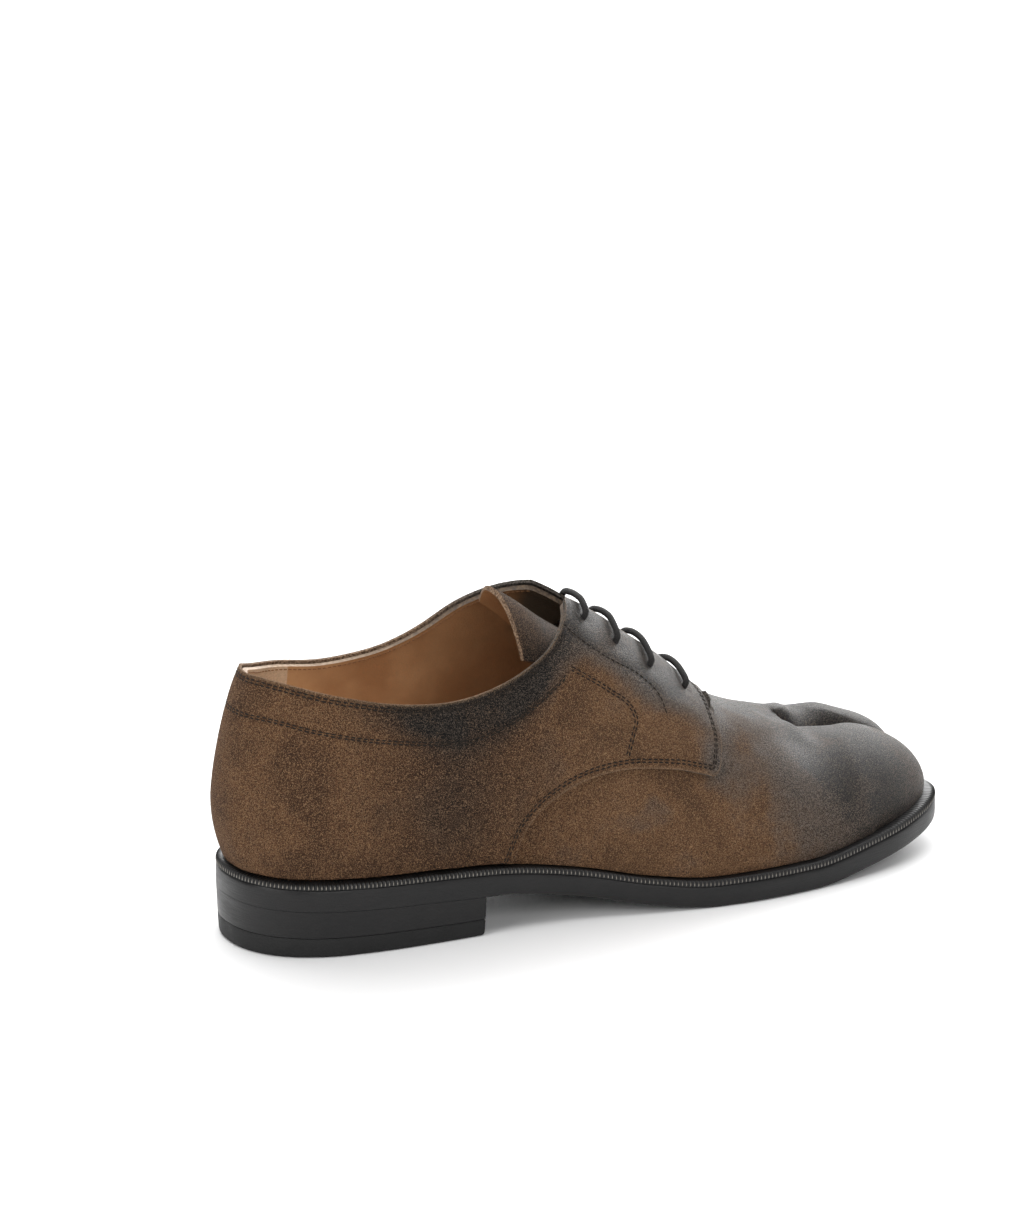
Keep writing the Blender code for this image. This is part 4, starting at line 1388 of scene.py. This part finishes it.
def add_fibres(places, normals, size, points, faces):
    """One fine flat hair per place, leaning in a random direction."""
    count = len(places)
    lean = random.normal(size=(count, 3))
    lean = unit(lean - normals * (lean * normals).sum(axis=1)[:, None])
    across = np.cross(normals, lean)
    length = random.uniform(size.shortest, size.longest, count)[:, None]
    stand = random.uniform(LEAST_STAND, 1.0, count)[:, None] * size.stand
    tips = places + length * (lean * (1 - stand) + normals * stand)
    first = len(points)
    half = across * size.width / 2
    for k in range(count):
        points.extend((places[k] - half[k], places[k] + half[k], tips[k]))
        faces.append((first + 3 * k, first + 3 * k + 1, first + 3 * k + 2))


def rim_samples(lines, tree, lift, count):
    """Random places along a raw edge, with the normals of the skin beside it."""
    whole = np.vstack(lines)
    chosen = whole[random.integers(0, len(whole), count)]
    chosen = chosen + random.normal(scale=RIM_SCATTER, size=chosen.shape)
    return on_surface(tree, chosen, lift)


def nap_mesh(quarter, vamp, quarter_tree):
    points, faces = [], []
    for mesh, first_x in ((quarter, -math.inf), (vamp, VAMP_NAP_X)):
        places, normals, dark = skin_samples(mesh, NAP.count)
        keep = (random.uniform(size=NAP.count) > dark * NAP_SHY) & (places[:, 0] > first_x)
        add_fibres(places[keep], normals[keep], NAP, points, faces)
    rims = []
    for side in SIDES:
        rims += [topline_line(side, 0.0, RIM_END_X), seam_on_side(side, edge_knots(RIM_INSIDE))]
    rims = [at_lengths(line, np.arange(0, arc_length(line)[-1], RIM_STEP)) for line in rims]
    places, normals = rim_samples(rims, quarter_tree, RIM_LIFT, EDGE_NAP.count)
    frayed = (places[:, 0] < FRAY_END_X) | (places[:, 2] < FRAY_TOP)
    add_fibres(places[frayed], normals[frayed], EDGE_NAP, points, faces)
    return make_mesh("suede_nap", points, faces, weld=False)


# Looks
Noise = namedtuple("Noise", "scale detail low high", defaults=(0.35, 0.65))
Bump = namedtuple("Bump", "distance strength", defaults=(1.0,))


class Shade:
    """A number or colour in a shader; sums and products of shades are shades."""

    def __init__(self, look, socket):
        self.look = look
        self.socket = socket

    def reckon(self, operation, first, second):
        return self.look.node("ShaderNodeMath", 0, {0: first, 1: second}, operation=operation)

    def __add__(self, other):
        return self.reckon("ADD", self, other)

    def __sub__(self, other):
        return self.reckon("SUBTRACT", self, other)

    def __rsub__(self, other):
        return self.reckon("SUBTRACT", other, self)

    def __mul__(self, other):
        return self.reckon("MULTIPLY", self, other)

    def spread(self, low, high, to_low=0.0, to_high=1.0):
        """The shade between low and high, stretched to another range."""
        sockets = {"Value": self, "From Min": low, "From Max": high, "To Min": to_low, "To Max": to_high}
        return self.look.node("ShaderNodeMapRange", "Result", sockets)


class Look:
    """A material whose shader is fed by noise in the shoe's own coordinates."""

    def __init__(self, name):
        self.material = bpy.data.materials.new(name)
        self.material.use_nodes = True
        self.tree = self.material.node_tree
        self.where = self.node("ShaderNodeTexCoord", "Object")

    def feed(self, socket, value):
        if isinstance(value, Shade):
            self.tree.links.new(value.socket, socket)
        else:
            socket.default_value = (*value, 1.0) if socket.type == "RGBA" else value

    def node(self, kind, output, sockets=None, **settings):
        node = self.tree.nodes.new(kind)
        for key, value in settings.items():
            setattr(node, key, value)
        for key, value in (sockets or {}).items():
            self.feed(node.inputs[key], value)
        return Shade(self, node.outputs[output])

    def noise(self, noise, where=None):
        """Cloudy noise spread over 0 to 1."""
        sockets = {"Vector": where or self.where, "Scale": noise.scale, "Detail": noise.detail}
        return self.node("ShaderNodeTexNoise", "Fac", sockets).spread(noise.low, noise.high)

    def column(self, name):
        return self.node("ShaderNodeAttribute", "Fac", attribute_name=name)

    def along_x(self, start, end, high=1.0):
        """Rises from 0 between two places along the shoe."""
        x = self.node("ShaderNodeSeparateXYZ", "X", {0: self.where})
        return x.spread((start + SHIFT[0]) * MM, (end + SHIFT[0]) * MM, 0.0, high)

    def blend(self, share, first, second):
        return self.node("ShaderNodeMix", 2, {0: share, 6: first, 7: second}, data_type="RGBA")

    def bumped(self, height, bump, **normal):
        sockets = {"Height": height, "Distance": bump.distance * MM, "Strength": bump.strength, **normal}
        return self.node("ShaderNodeBump", "Normal", sockets)

    def done(self, colour, rough, **sockets):
        shader = self.tree.nodes["Principled BSDF"]
        for key, value in {"Base Color": colour, "Roughness": rough, **sockets}.items():
            self.feed(shader.inputs[key.replace("_", " ")], value)
        return self.material

    def two_toned(self, grain, share, first, second, rough, bump, **sockets):
        """One noise between the tones of two pairs, which are mixed by a share."""
        tone = self.noise(grain)
        colour = self.blend(share, self.blend(tone, *first), self.blend(tone, *second))
        return self.done(colour, tone.spread(0, 1, *rough), Normal=self.bumped(tone, bump), **sockets)


def toned_look(name, grain, tones, rough, bump=None, **sockets):
    """One noise between two tones, which is also the roughness and the bump."""
    look = Look(name)
    tone = look.noise(grain)
    if bump:
        sockets["Normal"] = look.bumped(tone, bump)
    return look.done(look.blend(tone, *tones), tone.spread(0, 1, *rough), **sockets)


def thread_look(name, tones):
    return toned_look(name, Noise(3500, 1), tones, rough=(0.65, 0.85), bump=Bump(0.1),
                      Specular_IOR_Level=0.15)


BROWN = (0.126, 0.061, 0.028)
RED_BROWN = (0.044, 0.0185, 0.0085)
PALE_BROWN = (0.31, 0.182, 0.096)
DEEP_BROWN = (0.026, 0.014, 0.0075)
# Painted sheen: a grey haze and a paler brown painted on the suede towards the front, where light would
# glance off it
PAINTED_SHEEN = (0.15, 0.125, 0.105)
SHEEN_AHEAD_X = (104.0, 128.0)
BURNT = (0.0035, 0.003, 0.0026)
BURNT_PALE = (0.082, 0.065, 0.052)
# Pale tan along the raw edges: paler fibres of the cut edge together with a painted highlight
RAW_EDGE_AND_HIGHLIGHT = (0.26, 0.170, 0.105)
RAW_BROWN = ((0.075, 0.045, 0.028), (0.28, 0.19, 0.125))
RAW_WORN = ((0.03, 0.026, 0.022), (0.12, 0.104, 0.09))
SEAM_DARK = (0.012, 0.009, 0.007)
FIBRES = ((0.11, 0.066, 0.036), (0.27, 0.18, 0.11))
TAN = (0.55, 0.315, 0.158)
TAN_DEEP = (0.35, 0.172, 0.075)
# Painted shade: the lining darkens towards the toe, where less light reaches inside
TAN_PAINTED_SHADE = (0.21, 0.10, 0.042)
TAN_SHADE_X = (55.0, 115.0)
GRIP = (0.68, 0.50, 0.34)
GRIP_DEEP = (0.544, 0.40, 0.272)
GRIP_X = (36.2, 35.8)
# Painted shade on the lining inside the facings
FACING_PAINTED_SHADE = (0.07, 0.05, 0.033)
RIM_X = (35.0, 95.0)
RIM_PALE = ((0.30, 0.21, 0.14), (0.50, 0.38, 0.28))
RIM_DARK = ((0.05, 0.034, 0.022), (0.14, 0.095, 0.06))
EDGE_BLACKS = ((0.0035, 0.0034, 0.0036), (0.007, 0.0065, 0.0065))
# Pale painted highlight on the welt's rib crests
CREST_PAINTED_HIGHLIGHT = (0.33, 0.30, 0.26)
RUBBERS = ((0.004, 0.004, 0.004), (0.009, 0.009, 0.009))
# Near-black of the eyelet dishes: painted shade inside the holes
HOLE_PAINTED_SHADES = ((0.010, 0.009, 0.008), (0.026, 0.023, 0.020))
THREAD_DARKS = ((0.008, 0.006, 0.005), (0.026, 0.020, 0.015))
THREAD_TANS = ((0.16, 0.075, 0.035), (0.30, 0.16, 0.08))
CORD_BLACKS = ((0.006, 0.0055, 0.0055), (0.030, 0.028, 0.027))
ALONG_LAYERS = (0.06, 0.06, 1.0)


# How the suede's noises are mixed: a range is a low and a high, then what they become, if not 0 and 1
CLOUD_SHARE = 0.7
NAP_SHARE = 0.8
SHADE_RANGE = (0.15, 0.7)
DEEP_FLECKS = (0.25, 0.5, 0.9, 0.0)
PALE_FLECKS = (0.55, 0.78, 0.0, 0.8)
BURNT_FLECKS = (0.5, 0.72)
PAINTED_SHEEN_FLECKS = (0.45, 0.68, 0.2, 3.8)
RAW_EDGE_AND_HIGHLIGHT_FLECKS = (0.3, 0.6, 0.15, 0.7)
# How much paler the brown is painted towards the front, as painted sheen
PAINTED_SHEEN_AHEAD = 0.1
WEAR_BY_SHADE = 0.6
WEAR_BY_FLECK = -0.5
DARK_RANGE = (0.05, 0.95)
SEAM_SHARE = 0.12
RUBBED_RANGE = (0.0, 1.0, 0.2, 1.0)
SUEDE_ROUGH = (0.2, 1.0, 0.97, 0.42)


def suede_look():
    """Brushed suede: cloudy browns with fine flecks, burnt where rubbed, with painted sheen as a grey haze
    at the edge of that and as a paler brown towards the front.
    """
    look = Look("suede_brown")
    cloud = look.noise(Noise(44, 4, 0.36, 0.64))
    stain = look.noise(Noise(110, 4, 0.34, 0.66))
    grain = look.noise(Noise(1500, 3, 0.3, 0.7))
    nap = look.noise(Noise(3300, 2, 0.3, 0.7))
    shade = cloud * CLOUD_SHARE + stain * (1 - CLOUD_SHARE)
    fleck = nap * NAP_SHARE + grain * (1 - NAP_SHARE)
    ahead = look.along_x(*SHEEN_AHEAD_X)
    brown = look.blend(shade.spread(*SHADE_RANGE), RED_BROWN, BROWN)
    brown = look.blend(fleck.spread(*DEEP_FLECKS), brown, DEEP_BROWN)
    brown = look.blend(fleck.spread(*PALE_FLECKS), brown, PALE_BROWN)
    # Paler brown towards the front: painted sheen
    brown = look.blend(ahead * PAINTED_SHEEN_AHEAD, brown, PALE_BROWN)
    burnt = look.blend(fleck.spread(*BURNT_FLECKS), BURNT, BURNT_PALE)
    wear = (shade - 0.5) * WEAR_BY_SHADE + (fleck - 0.5) * WEAR_BY_FLECK
    dark = (look.column("burnish") + wear).spread(*DARK_RANGE)
    colour = look.blend(dark, brown, burnt)
    # Grey haze where the rubbed zone fades, towards the front: painted sheen
    painted_sheen = dark * (1.0 - dark) * (ahead * fleck.spread(*PAINTED_SHEEN_FLECKS))
    colour = look.blend(painted_sheen, colour, PAINTED_SHEEN)
    # Pale raw edges: the cut edge's own fibres and a painted highlight
    colour = look.blend(look.column("raw_edge_and_highlight") * fleck.spread(*RAW_EDGE_AND_HIGHLIGHT_FLECKS), colour, RAW_EDGE_AND_HIGHLIGHT)
    colour = look.blend(look.column("seam") * SEAM_SHARE, colour, SEAM_DARK)
    rubbed = dark * ahead.spread(*RUBBED_RANGE)
    bump = look.bumped(nap, Bump(0.35, 0.9), Normal=look.bumped(grain, Bump(0.3, 0.5)))
    return look.done(colour, rubbed.spread(*SUEDE_ROUGH), Normal=bump, Specular_IOR_Level=0.2)


def raw_edge_look():
    look = Look("suede_raw_edge")
    worn = look.column("worn")
    return look.two_toned(Noise(1400, 2), worn, RAW_BROWN, RAW_WORN, rough=(0.85, 1.0), bump=Bump(0.25),
                          Specular_IOR_Level=0.15)


CREASE_SHARE = 0.25
TAN_SHADE_SHARE = 0.7
LINING_ROUGH = (0.42, 0.55)
GRIP_ROUGH = 0.4


def lining_look():
    """Smooth tan leather, with a paler napped strip round the back of the heel, and painted shade towards
    the toe and inside the facings.
    """
    look = Look("lining_tan")
    pores = look.noise(Noise(1800, 2))
    creases = look.noise(Noise(240, 5))
    tan = look.blend(look.noise(Noise(35, 3)), TAN_DEEP, TAN)
    tan = look.blend(creases * CREASE_SHARE, tan, TAN_DEEP)
    # Painted shade deeper inside the shoe, towards the toe
    tan = look.blend(look.along_x(*TAN_SHADE_X, TAN_SHADE_SHARE), tan, TAN_PAINTED_SHADE)
    # Painted shade inside the facings
    tan = look.blend(look.column("facing"), tan, FACING_PAINTED_SHADE)
    in_grip = look.along_x(*GRIP_X)
    colour = look.blend(in_grip, tan, look.blend(pores, GRIP, GRIP_DEEP))
    bump = look.bumped(pores, Bump(0.08, 0.6), Normal=look.bumped(creases, Bump(0.12, 0.5)))
    rough = pores.spread(0, 1, *LINING_ROUGH) + in_grip * GRIP_ROUGH
    return look.done(colour, rough, Normal=bump, Specular_IOR_Level=0.4)


def lining_edge_look():
    look = Look("lining_edge")
    ahead = look.along_x(*RIM_X)
    return look.two_toned(Noise(700, 3), ahead, RIM_PALE, RIM_DARK, rough=(0.6, 0.8), bump=Bump(0.15))


EDGE_ROUGH = (0.32, 0.42)
LINE_ROUGH = 0.08


def black_edge_look():
    """Painted leather edges: satin black with fine lines along the layers, and a pale painted highlight on
    the welt's rib crests.
    """
    look = Look("edge_black")
    flat = look.node("ShaderNodeMapping", 0, {"Vector": look.where, "Scale": ALONG_LAYERS})
    lines = look.noise(Noise(2200, 3), where=flat)
    cloud = look.noise(Noise(120, 4))
    pores = look.noise(Noise(2500, 2))
    colour = look.blend(look.column("tick"), look.blend(cloud, *EDGE_BLACKS), CREST_PAINTED_HIGHLIGHT)
    bump = look.bumped(lines, Bump(0.06, 0.5), Normal=look.bumped(pores, Bump(0.05, 0.4)))
    rough = cloud.spread(0, 1, *EDGE_ROUGH) + lines * LINE_ROUGH
    return look.done(colour, rough, Normal=bump, Specular_IOR_Level=0.36)


RUBBER_ROUGH = (0.5, 0.65)


def rubber_look():
    look = Look("rubber_black")
    cloud = look.noise(Noise(160, 4))
    bump = look.bumped(look.noise(Noise(3000, 2)), Bump(0.08, 0.6))
    colour = look.blend(cloud, *RUBBERS)
    return look.done(colour, cloud.spread(0, 1, *RUBBER_ROUGH), Normal=bump, Specular_IOR_Level=0.33)


# Pieces
suede = suede_look()
lining = lining_look()
raw_edge = raw_edge_look()
lining_edge = lining_edge_look()
black_edge = black_edge_look()
rubber = rubber_look()
dark_thread = thread_look("thread_dark", THREAD_DARKS)
tan_thread = thread_look("thread_tan", THREAD_TANS)
cord = thread_look("lace_cord_dark", CORD_BLACKS)
# Eyelet holes: near-black painted shade
hole_shade = toned_look("eyelet_painted_shade", Noise(1500, 2), HOLE_PAINTED_SHADES, rough=(0.75, 0.95), bump=Bump(0.1))
fibre = toned_look("suede_fibre", Noise(900, 1), FIBRES, rough=(0.8, 1.0), Specular_IOR_Level=0.1)

vamp, wall_shares = upper_skin()
quarter = quarter_skin()
quarter_tree = surface_tree(quarter)
vamp_tree = surface_tree(vamp)

upper_wall = thickened(vamp, WALL, (suede, lining, lining_edge), wall_shares)
place_piece("upper_suede", upper_wall, suede, ("upper",))
quarter_wall = thickened(quarter, QUARTER_THICKNESS, (suede, raw_edge, raw_edge))
place_piece("quarters_suede", quarter_wall, suede, ("quarters",))
tongue_wall = thickened(tongue_skin(), TONGUE_THICKNESS, (suede, lining, raw_edge))
place_piece("tongue_suede", tongue_wall, suede, ("tongue",))
place_piece("insole_leather", insole_mesh(), lining, ("insole",))
place_piece("welt_ribbed", welt_mesh(), black_edge, ("welt",))
place_piece("outsole_leather", outsole_mesh(), black_edge, ("outsole",))
place_piece("heel_stack_leather", heel_stack_mesh(), black_edge, ("heel_stack",))
place_piece("heel_top_lift_rubber", top_lift_mesh(), rubber, ("heel_top_lift",))
lace_nodes = tuple(f"lace_bar_{number}" for number in range(1, len(EYELETS) + 1))
place_piece("lace_threaded", lace_mesh(), cord, lace_nodes)
place_piece("seam_stitching", quarter_stitching(quarter_tree), dark_thread)
place_piece("lining_stitching", lining_stitching(vamp_tree), tan_thread)
place_piece("eyelet_holes", eyelet_mesh(quarter_tree), hole_shade)
place_piece("suede_nap", nap_mesh(quarter, vamp, quarter_tree), fibre)


# Stage
FLOOR_HALF = 4.0
FLOOR_DROP = 0.0002
FLOOR_GREYS = ((0.86, 0.86, 0.86), (0.88, 0.88, 0.88))
corners = [(x * FLOOR_HALF, y * FLOOR_HALF, -FLOOR_DROP) for x, y in ((-1, -1), (1, -1), (1, 1), (-1, 1))]
floor_mesh = bpy.data.meshes.new("floor")
floor_mesh.from_pydata(corners, [], [(0, 1, 2, 3)])
floor_look = toned_look("floor_pale", Noise(6, 2), FLOOR_GREYS, rough=(0.85, 0.9), Specular_IOR_Level=0.1)
floor_mesh.materials.append(floor_look)
floor = linked("floor", floor_mesh)

# Camera, at the photograph's angle
AZIMUTH = math.radians(-26.88)
ELEVATION = math.radians(18.21)
DISTANCE = 1944.6
TARGET = np.array([140.0, 0.0, 42.28])
FOCAL_PIXELS = 5489.0
IMAGE_WIDTH = 1024
IMAGE_HEIGHT = 1226
TARGET_PIXEL = (586.18, 767.25)
SENSOR = 36.0
CLIP_END = 20

back = np.array([
    math.sin(AZIMUTH) * math.cos(ELEVATION),
    -math.cos(AZIMUTH) * math.cos(ELEVATION),
    math.sin(ELEVATION),
])
right = np.array([math.cos(AZIMUTH), math.sin(AZIMUTH), 0.0])
up = np.cross(back, right)
camera_data = bpy.data.cameras.new("camera")
camera_data.sensor_width = SENSOR
camera_data.lens = FOCAL_PIXELS / IMAGE_HEIGHT * SENSOR
camera_data.shift_x = -(TARGET_PIXEL[0] - IMAGE_WIDTH / 2) / IMAGE_HEIGHT
camera_data.shift_y = (TARGET_PIXEL[1] - IMAGE_HEIGHT / 2) / IMAGE_HEIGHT
camera_data.clip_end = CLIP_END
camera = linked("camera", camera_data)
turn = Matrix(np.column_stack([right, up, back]).tolist()).to_4x4()
camera.matrix_world = Matrix.Translation(Vector((TARGET + SHIFT + back * DISTANCE) * MM)) @ turn
bpy.context.scene.camera = camera


# Light, in metres and watts
LIGHTS = table(
    "name place aim width height power",
    ("top_light", (0.05, 0.0, 1.5), (0, 0, 0), 1.5, 1.5, 17),
    ("back_light", (0.3, 2.8, 2.6), (0.3, 2.4, 0), 4.0, 3.0, 100),
    ("wall_light", (0.9, 1.9, 0.85), (0, 0, 0.05), 3.0, 1.3, 46),
    ("left_light", (-1.5, -0.4, 0.8), (0, 0, 0.05), 0.8, 1.2, 11),
    ("right_light", (1.35, 0.75, 0.75), (0.1, 0, 0.05), 1.0, 1.0, 20),
    ("front_light", (-0.2, -2.0, 1.1), (0, 0, 0.05), 1.6, 1.0, 16),
)
for row in LIGHTS:
    lamp = bpy.data.lights.new(row.name, "AREA")
    lamp.shape = "RECTANGLE"
    lamp.size = row.width
    lamp.size_y = row.height
    lamp.energy = row.power
    softbox = linked(row.name, lamp)
    softbox.location = row.place
    softbox.rotation_euler = (Vector(row.aim) - Vector(row.place)).to_track_quat("-Z", "Y").to_euler()

WORLD_GREY = (0.97, 0.97, 0.97, 1)
WORLD_STRENGTH = 0.25
world = bpy.data.worlds.new("studio")
world.use_nodes = True
background = world.node_tree.nodes["Background"]
background.inputs["Color"].default_value = WORLD_GREY
background.inputs["Strength"].default_value = WORLD_STRENGTH
bpy.context.scene.world = world
bpy.context.scene.view_settings.view_transform = "Standard"
